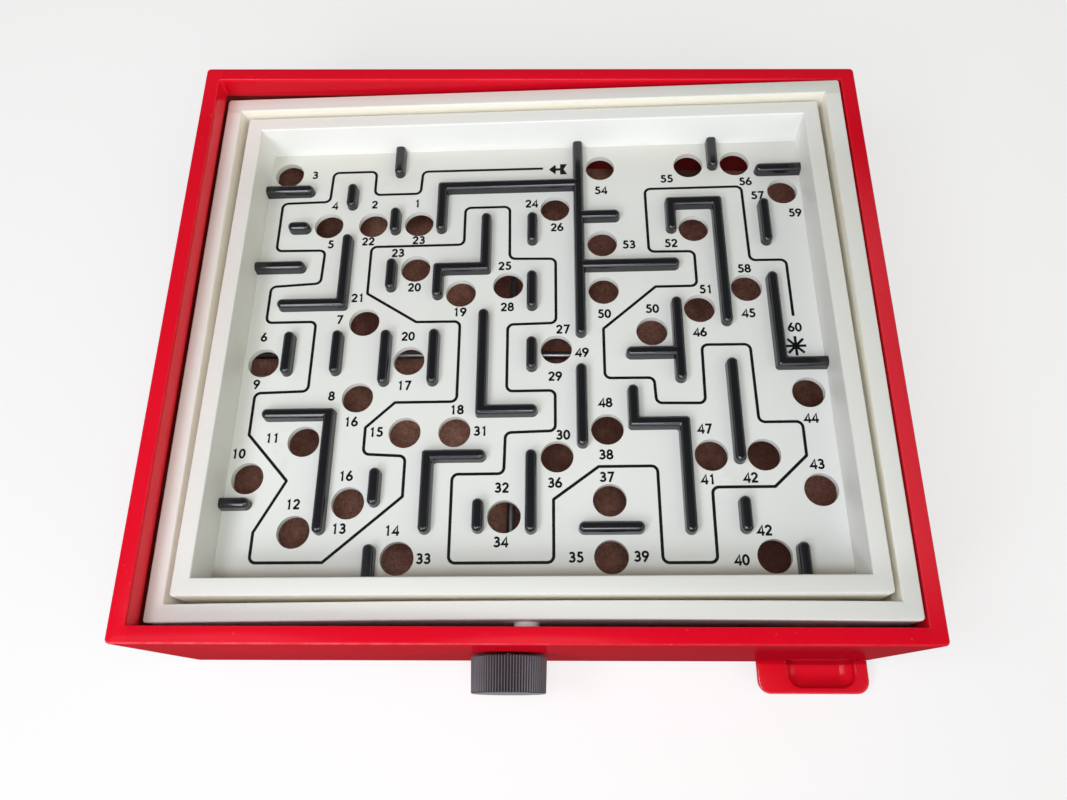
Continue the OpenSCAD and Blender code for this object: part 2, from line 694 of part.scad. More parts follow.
// Tube along a path of [point, side vector, radius]
module tube(path, sides) {
    n = len(path);
    rings = [for (i = [0 : n - 1]) let (
        t = unit(path[min(i + 1, n - 1)][0] - path[max(i - 1, 0)][0]),
        u = unit(path[i][1] - (path[i][1] * t) * t),
        v = cross(t, u))
        for (k = [0 : sides - 1]) let (a = k * 360 / sides)
            path[i][0] + path[i][2] * (cos(a) * u + sin(a) * v)];
    walls = [for (i = [0 : n - 2], k = [0 : sides - 1]) let (
        a = i * sides + k, b = i * sides + (k + 1) % sides, c = a + sides, d = b + sides)
        each [[a, c, b], [b, c, d]]];
    starts = [for (k = [1 : sides - 2]) [0, k, k + 1]];
    ends = [for (k = [1 : sides - 2]) let (e = (n - 1) * sides) [e, e + k + 1, e + k]];
    polyhedron(rings, concat(walls, starts, ends));
}

loop_rings = 24;
cord_sides = 6;
curl_rings = 8;
knot_r = 1.5 * cord_d;
spring_l = spring_coils * spring_pitch + 8 * wire_d;

// Points of a cord: knot, run to the shaft, turns on the shaft, run to the spring's near end.
// The plane of the runs is spanned by [across, up], and along is the shaft's direction.
function cord_path(from, shaft_at, to, across, along, up) =
    let (
        dip_in = slope(shaft_at + wind_r * up - from, across, up),
        rise_out = slope(to - shaft_at - wind_r * up, across, up),
        first = 90 + dip_in,
        last = 90 + rise_out - 360 * cord_turns,
        count = cord_turns * loop_rings,
        wound = [for (i = [0 : count]) let (a = first + (last - first) * i / count, s = i / count)
            shaft_at + (s * wind_l) * along + wind_r * (cos(a) * across + sin(a) * up)],
        in_dir = unit(wound[0] - from),
        knot = [[-2.6, 0.3], [-2.2, 0.8], [-1.4, 1], [-0.6, 0.8], [-0.2, 0.34]]
    )
    concat(
        [for (k = knot) [from + in_dir * (k[0] * knot_r - lug_t / 2 - end_gap), up, k[1] * knot_r]],
        [for (s = [0 : 0.125 : 0.9]) [from + (wound[0] - from) * s, up, cord_d / 2]],
        [for (i = [0 : count]) let (a = first + (last - first) * i / count)
            [wound[i], cos(a) * across + sin(a) * up, cord_d / 2]],
        [for (s = [0.125 : 0.125 : 1]) [wound[count] + (to - wound[count]) * s, up, cord_d / 2]]
    );

function slope(v, across, up) = atan2(v * up, v * across);

// Least gap between neighbouring turns, measured point to point
function turn_gap(points, per_turn, thick) =
    min([for (i = [0 : len(points) - per_turn - 3], j = [per_turn - 2 : per_turn + 2])
        norm(points[i + j] - points[i])]) - thick;

// Spring along a line, from its near end to a button behind the lug
function spring_path(near, far, side) =
    let (
        d = unit(far - near),
        u = unit(side - (side * d) * d),
        v = cross(d, u),
        lead = 2 * wire_d,
        coil = spring_coils * spring_pitch,
        count = spring_coils * curl_rings,
        grow = curl_rings / 2,
        reach = norm(far - near) + lug_t / 2 + end_gap
    )
    concat(
        [for (s = [0, 1]) [near + d * (s * lead), u, wire_d / 2]],
        [for (i = [0 : count + 2 * grow]) let (
            a = i * 360 / curl_rings,
            r = spring_d / 2 * min(1, (i + 1) / (grow + 1), (count + 2 * grow - i + 1) / (grow + 1)),
            w = cos(a) * u + sin(a) * v)
            [near + d * (2 * lead + coil * i / count) + r * w, w, wire_d / 2]],
        [[near + d * (3 * lead + coil * (count + 2 * grow) / count), u, wire_d / 2],
         [near + d * (reach - 0.2), u, wire_d / 2],
         [near + d * (reach + 0.1), u, 1.6 * wire_d], [near + d * (reach + 1.2), u, 1.6 * wire_d],
         [near + d * (reach + 1.6), u, wire_d]]
    );

// Anchors of both cords where they pass their lugs, and the springs' near ends
front_from = outer_point([-(outer_w - frame_w) / 2, front_cord_y, lug_z]);
front_far = outer_point([(outer_w - frame_w) / 2, front_cord_y + wind_l, lug_z]);
front_top = [front_x, front_cord_y, front_z];
front_leave = [front_x, front_cord_y + wind_l, front_z + wind_r];
front_near = front_far - unit(front_far - front_leave) * (spring_l + 2 * lug_t);
side_from = inner_point([side_cord_x, -(inner_d - frame_w) / 2, lug_z]);
side_far = inner_point([side_cord_x + wind_l, (inner_d - frame_w) / 2, lug_z]);
side_top = [side_cord_x, side_y, side_z];
side_leave = [side_cord_x + wind_l, side_y, side_z + wind_r];
side_near = side_far - unit(side_far - side_leave) * (spring_l + 2 * lug_t);

FRONT_CORD = cord_path(front_from, front_top, front_near, [1, 0, 0], [0, 1, 0], [0, 0, 1]);
SIDE_CORD = cord_path(side_from, side_top, side_near, [0, 1, 0], [1, 0, 0], [0, 0, 1]);
FRONT_SPRING = spring_path(front_near, front_far, [0, 0, 1]);
SIDE_SPRING = spring_path(side_near, side_far, [0, 0, 1]);

function places(path) = [for (p = path) p[0]];
echo(front_cord_gap = turn_gap(places(FRONT_CORD), loop_rings, cord_d),
     side_cord_gap = turn_gap(places(SIDE_CORD), loop_rings, cord_d),
     front_spring_gap = turn_gap(places(FRONT_SPRING), curl_rings, wire_d),
     side_spring_gap = turn_gap(places(SIDE_SPRING), curl_rings, wire_d));

module front_cord() { color(STRING) tube(FRONT_CORD, cord_sides); }
module side_cord() { color(STRING) tube(SIDE_CORD, cord_sides); }
module front_spring() { color(STEEL) tube(FRONT_SPRING, cord_sides); }
module side_spring() { color(STEEL) tube(SIDE_SPRING, cord_sides); }

box_shell();
sloped_floor();
ball_tray();
outer_frame();
outer_pivot_front();
outer_pivot_rear();
inner_frame();
inner_pivot_left();
inner_pivot_right();
maze_board();
ridge_bars();
ridge_stubs();
ridge_corner_back_left();
ridge_corner_front_left();
ridge_corner_front();
ridge_corner_middle();
ridge_corner_right();
ridge_step_left();
ridge_step_right();
ridge_hook();
ridge_tee();
ridge_start();
front_knob();
front_shaft();
front_clip();
side_knob();
side_shaft();
side_clip();
front_cord();
front_spring();
side_cord();
side_spring();
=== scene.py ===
"""Looks of a tilting marble maze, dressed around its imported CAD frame.

Lengths are in millimetres until a mesh is made. Each new piece is a grid of points worked out with numpy,
and lies where the frame has the node that it stands for.
"""

import bmesh
import bpy
import numpy as np
from mathutils import Matrix


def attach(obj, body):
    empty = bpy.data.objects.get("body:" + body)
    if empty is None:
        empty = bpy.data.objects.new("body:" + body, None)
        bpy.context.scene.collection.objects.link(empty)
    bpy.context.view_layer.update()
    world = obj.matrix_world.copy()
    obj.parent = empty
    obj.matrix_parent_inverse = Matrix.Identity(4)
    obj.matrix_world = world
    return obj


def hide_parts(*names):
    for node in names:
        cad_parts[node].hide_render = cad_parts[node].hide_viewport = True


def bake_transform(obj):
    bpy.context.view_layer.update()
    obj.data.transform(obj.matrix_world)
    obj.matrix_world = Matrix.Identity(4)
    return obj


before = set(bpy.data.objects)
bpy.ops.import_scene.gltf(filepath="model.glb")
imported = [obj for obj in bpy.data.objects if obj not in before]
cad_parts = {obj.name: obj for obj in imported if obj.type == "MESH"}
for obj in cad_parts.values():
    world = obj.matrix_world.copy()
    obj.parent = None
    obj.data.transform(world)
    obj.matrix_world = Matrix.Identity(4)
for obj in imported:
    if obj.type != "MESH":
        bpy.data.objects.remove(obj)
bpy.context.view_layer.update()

MM = 0.001

# ---- sizes of the frame's nodes and of what is added to them

BOX_W, BOX_D, BOX_H = 162.5, 140.0, 92.0
DRAFT, WALL, CORNER_R, OPEN_R, CAVITY_R = 1.0, 2.5, 2.0, 0.8, 0.6
RIM_W, RIM_T, SKIRT_H, SKIRT_T = 7.0, 3.0, 12.0, 2.0
OUTER_W, OUTER_D = 153.7, 131.2
INNER_W, INNER_D = 143.5, 121.0
FRAME_T, FRAME_H, FRAME_SKIN, FRAME_ROOF, FRAME_R, FRAME_LEAST_R = 7.5, 12.5, 2.0, 2.4, 1.5, 0.4
LIP_W, LIP_T = 2.0, 1.5
PLAY_W, PLAY_D = 136.0, 113.5
PIVOT_Z, ROLL, PITCH = 74.0, -2.7, -1.5
BOARD_Z = -8.0
COLUMN = 23.0
RIDGE_W, RIDGE_H, RIDGE_CROWN, RIDGE_LEAN, RIDGE_SINK = 2.7, 5.0, 1.7, 0.3, 0.02
BEND_OUT, BEND_IN = 0.62, -0.4
FRONT_X, FRONT_Z, SIDE_Y, SIDE_Z = -8.0, 45.0, 7.0, 36.0
KNOB_R, KNOB_L, KNOB_GAP, KNOB_RIBS, RIB_DEPTH = 16.5, 15.0, 1.4, 80, 0.6
KNOB_WALL, KNOB_TAPER, HUB_R, RIB_SHAPE, RIB_POINTS = 2.6, 0.4, 4.5, 0.8, 8
BEARING_W, BOSS_R, BOSS_L, BOSS_SINK = 8.0, 5.0, 6.0, 0.6
BORE_R, BORE_L = 2.05, 8.0
RIB_L, RIB_HALF, RIB_STEP = 7.25, 1.0, 0.4
PIVOT_BOSS_R, PIVOT_BOSS_L, PIVOT_BOSS_OUT = 5.2, 2.4, 0.4
BOW_ENDS, BOW_MIDDLE, BOW_HALF, SIDES_OUT, BEND_FROM = 0.5, 0.9, 145, 0.6, 100
CORD_R, WIND_R, CORD_TURNS, CORD_PITCH, CORD_LAY = 0.54, 2.65, 3, 1.6, 3.2
FRONT_CORD_Y, SIDE_CORD_X = -10.0, 21.5
STRANDS, STRAND_DEPTH, RUN_STEP, TURN_STEPS = 3, 0.2, 0.3, 330
KNOT_R, KNOT_L, KNOT_LAY, KNOT_DEPTH = 1.5, 3.7, 4.0, 0.16
LUG_Z, LUG_W, LUG_T, LUG_TOP, END_GAP = -19.0, 4.0, 3.0, -10.1, 0.3
SPRING_R, WIRE_R, SPRING_COILS, SPRING_PITCH, COIL_POINTS = 2.2, 0.35, 12, 1.3, 20
FLOOR_T, FLOOR_LOW, FALL_RIGHT, FALL_FRONT = 3.0, 4.5, 1.4, 1.7
TRAY_X, TRAY_W, TRAY_L, TRAY_LEVEL, TRAY_R = 134.5, 26.25, 15.0, 8.0, 6.0
DISH_X, DISH_W, DISH_R, DISH_T, DISH_MARGIN = 138.5, 15.75, 6.4, 1.6, 3.0
OUTLET_W, OUTLET_H, OUTLET_R, OUTLET_L = 17.65, 17.0, 7.06, 6.0

# Middles of the rails, solid parts in their channels and the lugs of the cords, from which each cord winds over
OUTER_X, OUTER_Y = OUTER_W - FRAME_T / 2, OUTER_D - FRAME_T / 2
INNER_X, INNER_Y = INNER_W - FRAME_T / 2, INNER_D - FRAME_T / 2
SOLID_HALF, SOLID_TOP = (FRAME_T - FRAME_SKIN) / 2, FRAME_H - 1.2
WIND = CORD_TURNS * CORD_PITCH
FRONT_LUGS = [(-OUTER_X, FRONT_CORD_Y), (OUTER_X, FRONT_CORD_Y + WIND)]
SIDE_LUGS = [(SIDE_CORD_X, -INNER_Y), (SIDE_CORD_X + WIND, INNER_Y)]

# Angles in degrees above which an edge stays sharp
CREASE, ROUND_CREASE, CORD_CREASE = 38, 50, 60

# The maze: points are columns of 23 mm to the right and millimetres to the back
LONG_RIDGES = [
    (-4.98, -15.4, 7), (-3.97, 77.6, 91.9), (-3.97, -15.6, 7.2), (-2.96, 61.9, 76.5), (-2.96, 28.9, 46.5),
    (-2.96, -21.5, 7), (-2.96, -79.4, -61.7), (-1.96, -21.7, 7), (-0.95, -91.5, -76.2), (0.05, 53.8, 71.5),
    (0.05, 17, 37.8), (0.05, -15.2, 2), (0.05, -92, -54), (1.05, -53.2, -12.4), (4.04, -61.4, -10.8),
    (4.04, -92.6, -76.3), (5.03, 50.5, 76.2),
]
CROSS_RIDGES = [(-5.33, -4.84, 66.5), (0.94, 2.18, -89.6)]
SIDE = PLAY_W / COLUMN
STUBS = [
    [(-SIDE, 89), (-4.85, 89)], [(-SIDE, 43.5), (-4.84, 43.5)], [(-SIDE, -77.5), (-5.33, -77.5)],
    [(SIDE, 94.5), (4.93, 94.5)], [(-2.95, PLAY_D), (-2.95, 97)], [(4.04, PLAY_D), (4.04, 96.1)],
    [(-2.96, -PLAY_D), (-2.96, -96)], [(5.01, -PLAY_D), (5.01, -96.3)],
]
BENT_RIDGES = {
    "ridge_corner_back_left": [(-3.97, 61.3), (-3.97, 22), (-5.34, 22)],
    "ridge_corner_front_left": [(-5.34, -35.5), (-3.97, -35.5), (-3.97, -91.6)],
    "ridge_corner_front": [(-0.82, -56.4), (-1.96, -56.4), (-1.96, -91.7)],
    "ridge_corner_middle": [(-0.95, 17.2), (-0.95, -35), (0.18, -35)],
    "ridge_step_left": [(-0.95, 71.7), (-0.95, 40.5), (-1.95, 40.5), (-1.95, 24)],
    "ridge_step_right": [(2.06, -23.5), (2.06, -42), (3.03, -42), (3.03, -92.7)],
    "ridge_hook": [(3.04, 58.7), (3.04, 75.5), (4.04, 75.5), (4.04, 6.7)],
}
CORNER_RIGHT = [(5.03, 34.2), (5.03, -13.6), (SIDE, -13.6)]
TEE = [[(3.03, 21.6), (3.03, -22.1)], [(3.03, -7), (1.95, -7)]]
START = [
    [(1.06, PLAY_D), (1.06, 2)], [(1.06, 88.5), (-1.94, 88.5), (-1.94, 62)], [(1.06, 69), (1.95, 69)],
    [(1.06, 40.4), (3.16, 40.4)],
]

# The print in millimetres on the board: the route from the arrow to the asterisk, and the numbers
INK_LOW, INK_HIGH = -0.02, 0.05
ROUTE_W, ROUTE_BEND, SLANT_BEND, SQUARE_LIMIT = 1.36, 2.8, 0.6, 0.3
STAR_AT, STAR_ARMS, STAR_W, STAR_R = (123.5, -4.1), (4.7, 5.1, 5.0, 5.1), 1.25, 1.75
DIGIT_H, DIGIT_W, DIGIT_STEP, DIGIT_RIGHT, ONE_LEFT, ONE_RIGHT = 4.75, 0.98, 0.70, 0.656, 0.13, 0.455
ARROW = [
    (9.4, 99.8), (12.8, 102.8), (13.1, 100.5), (15.2, 100.5), (15.2, 103.0), (18.9, 103.0), (17.0, 99.8),
    (18.9, 96.6), (15.2, 96.6), (15.2, 99.1), (13.1, 99.1), (12.8, 96.8),
]
ROUTE = [
    (6.4, 100.6), (-56, 100.8), (-56.6, 87), (-80.4, 87), (-80.4, 101.6), (-103, 101.6), (-103.5, 83.4),
    (-128, 83), (-128, 54.4), (-103, 54), (-103.5, 35), (-128, 33.6), (-128, 13.6), (-103.5, 13.6),
    (-103.5, -23), (-128.5, -23.6), (-128.5, -44.4), (-108.4, -66.6), (-120.6, -90), (-120.6, -103.4),
    (-88.6, -103.4), (-55.6, -74.4), (-55.6, -55.6), (-74.8, -54.4), (-74.8, -41.6), (-62, -29.4),
    (-33.4, -29.4), (-33.4, 12.2), (-54.6, 12.4), (-79.6, 28.6), (-79.6, 55.4), (-33, 55.5), (-33, 77.4),
    (-10.4, 77.4), (-10, 46.6), (12.6, 46), (12.6, 10.4), (-10.4, 10), (-10.4, -24.6), (12, -24.6),
    (12, -44.4), (-10.6, -45), (-11, -64.4), (-34, -64.4), (-34, -104), (11, -104), (11, -76.4),
    (31, -61.6), (56.8, -61.6), (57, -104.4), (79.8, -104.4), (80, -71.6), (107, -71.6), (122, -57.6),
    (122, -41.6), (103, -41.6), (102.6, -2.8), (80.4, -2.6), (80, -32), (58, -31.6), (57.5, -19),
    (35, -18.8), (35, 6.8), (60.6, 29), (80.4, 29), (80.4, 48.4), (58.4, 48.8), (58, 86), (106.4, 86),
    (106.8, 42.6), (124, 42.4), (124, 11.6),
]
NUMBERS = [
    (3, -113, 100.6), (4, -100.6, 81), (2, -80, 81), (1, -58, 81), (5, -100.6, 57.6), (22, -81.6, 58.8),
    (23, -56, 58.8), (23, -66, 51.6), (20, -56.6, 31.6), (19, -33.4, 17.4), (25, -12.4, 42.6),
    (28, -10.8, 19.6), (24, 0.6, 79), (26, 13.4, 64.4), (54, 35.8, 86), (53, 48.8, 53.2), (50, 35.6, 14.8),
    (55, 69.4, 92), (56, 108.8, 89), (57, 114, 80.4), (59, 131.4, 69.4), (52, 69.4, 53.4), (58, 103.6, 38),
    (51, 84, 27), (50, 58.4, 17), (46, 80, 4), (45, 103.4, 13.6), (21, -84.6, 26.4), (7, -92, 14.6),
    (6, -128, 5.8), (9, -128.4, -19), (20, -58, 4.8), (17, -58, -20.8), (8, -92, -25.6), (16, -81.4, -38.6),
    (18, -32.8, -33.4), (15, -69.4, -43.8), (31, -22.4, -44), (11, -117.6, -46), (10, -131.8, -53.4),
    (16, -81.4, -64.6), (12, -104, -77.4), (13, -82.4, -88.6), (14, -59, -89.6), (33, -44.8, -102),
    (32, -11.8, -70.8), (34, -11.8, -95), (35, 20.4, -101.8), (39, 48, -101.6), (36, 11.6, -68.8),
    (30, 15.4, -46.4), (29, 12, -17.4), (27, 15.8, 7), (49, 24.6, -5.4), (48, 34.8, -31), (38, 34.4, -56),
    (37, 34.4, -66.4), (47, 78.6, -44.4), (41, 78, -68), (42, 96.8, -67.4), (42, 100.4, -90.8),
    (40, 89.8, -103.4), (43, 126, -61.6), (44, 126, -40), (60, 124, 5.6),
]

# ---- grids and sections


join = np.concatenate


def stack(*parts):
    """Coordinates put side by side as the last axis."""
    return np.stack(parts, -1)


def span(start, end, steps):
    """Angles from start to end, given in degrees."""
    return np.radians(np.linspace(start, end, steps))


def arc(x, y, rx, ry, start, end, steps=18):
    """Points of an ellipse's arc, angles in degrees."""
    t = span(start, end, steps)
    return stack(x + rx * np.cos(t), y + ry * np.sin(t))


def circle(steps):
    """Angles once round, as a row."""
    return np.linspace(0, 2 * np.pi, steps, endpoint=False)[None]


def unit(v):
    """Each vector divided by its length."""
    return v / np.maximum(np.linalg.norm(v, axis=-1, keepdims=True), 1e-12)


def about(axis, degrees):
    """Matrix of a turn about one of the axes x, y, z."""
    c, s = np.cos(np.radians(degrees)), np.sin(np.radians(degrees))
    return np.array({
        "x": [[1, 0, 0], [0, c, -s], [0, s, c]], "y": [[c, 0, s], [0, 1, 0], [-s, 0, c]],
        "z": [[c, -s, 0], [s, c, 0], [0, 0, 1]],
    }[axis])


OUTER_TURN = about("y", ROLL)
INNER_TURN = OUTER_TURN @ about("x", PITCH)
PIVOT = np.array([0, 0, PIVOT_Z])


def in_outer(points, turn=OUTER_TURN):
    """Points about the pivots, turned by the roll."""
    return points @ turn.T + PIVOT


def in_inner(points):
    """Points about the pivots, turned by the pitch and then by the roll."""
    return in_outer(points, INNER_TURN)


def cells(rows, columns, wrap_rows=False, wrap_columns=False):
    """Faces of a grid: each cell joins a point to its neighbours in the next row and the next column."""
    i = np.arange(rows if wrap_rows else rows - 1)[:, None]
    j = np.arange(columns if wrap_columns else columns - 1)[None, :]
    k, m = (i + 1) % rows, (j + 1) % columns
    corners = np.broadcast_arrays(i * columns + j, k * columns + j, k * columns + m, i * columns + m)
    return stack(*corners).reshape(-1, 4)


def raised(flat, height):
    """Flat points of a grid with their heights, which are spread over its rows or columns."""
    return join([flat, np.broadcast_to(height, flat.shape[:2])[..., None]], -1)


def surface(grid, wrap_rows=False, wrap_columns=False, caps=(), wear=0.0):
    """A grid of points with its cells, extra faces given as lists of points, and wear from 0 to 1."""
    rows, columns = grid.shape[:2]
    faces = [cells(rows, columns, wrap_rows, wrap_columns)] + [np.array([cap]) for cap in caps]
    return grid.reshape(-1, 3), faces, np.broadcast_to(wear, grid.shape[:2]).reshape(-1)


def soften(corners, radii, steps=5, closed=True):
    """Corners made round: an arc of each radius touches both sides, and turns about the point on the bisector.
    Also gives the wear of each point, which is greatest in the middle of an arc."""
    p = np.asarray(corners, float)
    r = np.array(np.broadcast_to(radii, len(p)), float)
    if not closed:
        r[[0, -1]] = 0
    u, v = unit(np.roll(p, 1, 0) - p), unit(np.roll(p, -1, 0) - p)
    half = np.clip(np.arccos(np.clip((u * v).sum(1), -1, 1)) / 2, 1e-4, np.pi / 2 - 1e-6)
    centre = p + unit(u + v) * (r / np.sin(half))[:, None]
    first = p + u * (r / np.tan(half))[:, None] - centre
    last = p + v * (r / np.tan(half))[:, None] - centre
    k = np.linspace(0, 1, steps + 1)
    turn = (np.pi - 2 * half)[:, None]
    a, b = np.sin((1 - k) * turn) / np.sin(turn), np.sin(k * turn) / np.sin(turn)
    points = centre[:, None] + a[..., None] * first[:, None] + b[..., None] * last[:, None]
    wear = np.where(r[:, None] > 0, 4 * k * (1 - k), 0.0)
    if closed:
        return points.reshape(-1, p.shape[1]), wear.reshape(-1)
    points = join([p[:1], points[1:-1].reshape(-1, p.shape[1]), p[-1:]])
    return points, join([[0], wear[1:-1].reshape(-1), [0]])


def round_rectangle(half_w, half_d, inset, radius, steps=6, between=0):
    """Loops of a rectangle: loop i lies inset[i] inside it, and each corner is a quarter turn of radius[i].
    Each side has some points between its corners."""
    turn = np.radians(np.linspace(0, 90, steps + 1)[None] + np.array([0, 90, 180, 270])[:, None])
    sign = np.array([[1, 1], [-1, 1], [-1, -1], [1, -1]])
    reach = stack(half_w - inset - radius, half_d - inset - radius)
    arc = stack(np.cos(turn), np.sin(turn))
    loops = sign[None, :, None] * reach[:, None, None] + radius[:, None, None, None] * arc[None]
    k = np.linspace(0, 1, between + 2)[1:-1, None]
    sides = (1 - k) * loops[:, :, -1:] + k * np.roll(loops, -1, 1)[:, :, :1]
    return join([loops, sides], 2).reshape(len(inset), -1, 2)


def ring(half_w, half_d, section, wear, radius, between=0):
    """A closed section of (inset, height) carried round a rectangle with round corners."""
    loops = round_rectangle(half_w, half_d, section[:, 0], radius, between=between)
    return surface(raised(loops, section[:, 1:]), True, True, wear=wear[:, None])


def lathe(section, steps, wear=0.0, closed=False, swell=None):
    """A section of (radius, height) turned about Z, its radius changed by swell(angle, section) if given."""
    angle = circle(steps)
    radius = section[:, :1] + (swell(angle, section) if swell else 0 * angle)
    flat = stack(radius * np.cos(angle), radius * np.sin(angle))
    return surface(raised(flat, section[:, 1:]), closed, True, wear=wear)


def rod(radius, length, steps):
    """A round rod about Z, from 0 to its length."""
    return lathe(np.array([(0, 0), (radius, 0), (radius, length), (0, length)]), steps)


def prism(outline, low, high):
    """A flat outline between two heights, closed by a face at each end."""
    n = len(outline)
    grid = raised(np.broadcast_to(outline, (2, n, 2)), np.array([[low], [high]], float))
    return surface(grid, False, True, caps=[np.arange(n), np.arange(n) + n])


def blocks(low, high, tops=None):
    """Blocks between low and high corners, whose upper corners lie on tops(x, y) if given."""
    low, high = np.asarray(low, float), np.asarray(high, float)
    pick = np.array([[0, 0, 0], [1, 0, 0], [1, 1, 0], [0, 1, 0], [0, 0, 1], [1, 0, 1], [1, 1, 1], [0, 1, 1]])
    points = low[:, None] + pick[None] * (high - low)[:, None]
    if tops is not None:
        points[:, 4:, 2] = tops(points[:, 4:, 0], points[:, 4:, 1])
    sides = np.array([[0, 3, 2, 1], [4, 5, 6, 7], [0, 1, 5, 4], [1, 2, 6, 5], [2, 3, 7, 6], [3, 0, 4, 7]])
    faces = (np.arange(len(low))[:, None, None] * 8 + sides[None]).reshape(-1, 4)
    return points.reshape(-1, 3), [faces], np.zeros(len(low) * 8)


def tube(path, side, radius, steps, lobes=0, lay=1.0, depth=0.0):
    """A round section carried along a path. With lobes it swells by depth under twisted strands,
    which turn once in each length lay. Both ends are closed by a face."""
    ahead = unit(np.gradient(path, axis=0))
    u = unit(side - (side * ahead).sum(1, keepdims=True) * ahead)
    v = np.cross(ahead, u)
    along = join([[0], np.cumsum(np.linalg.norm(np.diff(path, axis=0), axis=1))])[:, None]
    angle = circle(steps)
    strand = np.abs(np.cos(lobes / 2 * (angle - 2 * np.pi * along / lay))) if lobes else np.ones_like(along * angle)
    r = np.broadcast_to(radius, len(path))[:, None] * (1 - depth + depth * strand)
    round_it = np.cos(angle)[..., None] * u[:, None] + np.sin(angle)[..., None] * v[:, None]
    grid = path[:, None] + r[..., None] * round_it
    first = np.arange(steps)
    return surface(grid, False, True, caps=[first, first + (len(path) - 1) * steps], wear=strand)


def moved(shape, place):
    """The same surface with its points put through place."""
    return place(shape[0]), shape[1], shape[2]


def along_x(shape, x, y, z=0, sign=1):
    """A shape about Z, laid along x from a place: its x goes to y, its y to z and its height to x or back."""
    return moved(shape, lambda p: stack(x + sign * p[:, 2], p[:, 0] + y, p[:, 1] + z))


def along_y(shape, x, y, z=0, sign=1):
    """A shape about Z, laid along y from a place: its x stays, its y goes to z and its height to y or back."""
    return moved(shape, lambda p: stack(p[:, 0] + x, y + sign * p[:, 2], p[:, 1] + z))


def put(name, data, turn=np.eye(3), at=(0, 0, 0)):
    """An object of the scene, turned by a matrix and set at a place in metres."""
    made = bpy.data.objects.new(name, data)
    made.matrix_world = Matrix(np.block([[np.asarray(turn), np.reshape(at, (3, 1))], [np.eye(4)[3]]]).tolist())
    bpy.context.scene.collection.objects.link(made)
    return made


def piece(name, shapes, finish, body, stands_for=(), crease=CREASE):
    """One object of several surfaces in millimetres. Points that meet are joined, faces turned outwards and
    edges sharper than crease kept sharp. It rides on its body and stands for CAD nodes."""
    starts = np.cumsum([0] + [len(s[0]) for s in shapes])
    points = join([s[0] for s in shapes]) * MM
    faces = [face for s, first in zip(shapes, starts) for group in s[1] for face in (group + first).tolist()]
    mesh = bpy.data.meshes.new(name)
    mesh.from_pydata(points.tolist(), [], faces)
    worn = mesh.attributes.new("wear", "FLOAT", "POINT")
    worn.data.foreach_set("value", join([s[2] for s in shapes]).astype(np.float32))
    work = bmesh.new()
    work.from_mesh(mesh)
    bmesh.ops.remove_doubles(work, verts=work.verts, dist=2e-7)
    bmesh.ops.dissolve_degenerate(work, edges=work.edges, dist=1e-8)
    bmesh.ops.recalc_face_normals(work, faces=work.faces)
    work.to_mesh(mesh)
    work.free()
    mesh.shade_smooth()
    mesh.set_sharp_from_angle(angle=np.radians(crease))
    mesh.materials.append(finish)
    made = put(name, mesh)
    if stands_for:
        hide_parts(*stands_for)
    if body:
        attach(made, body)
    return made


# ---- shader maths


class Signal:
    """A shader socket. Arithmetic on it adds Math nodes."""

    def __init__(self, sheet, socket):
        self.sheet, self.socket = sheet, socket

    def _math(operation, swapped=False):
        """The method of one operator, or of its form with the socket on the right."""
        def act(self, other):
            first, second = (other, self) if swapped else (self, other)
            return self.sheet.node("Math", {0: first, 1: second}, operation=operation)
        return act

    __add__, __radd__ = _math("ADD"), _math("ADD", True)
    __sub__, __rsub__ = _math("SUBTRACT"), _math("SUBTRACT", True)
    __mul__, __rmul__ = _math("MULTIPLY"), _math("MULTIPLY", True)
    __pow__ = _math("POWER")


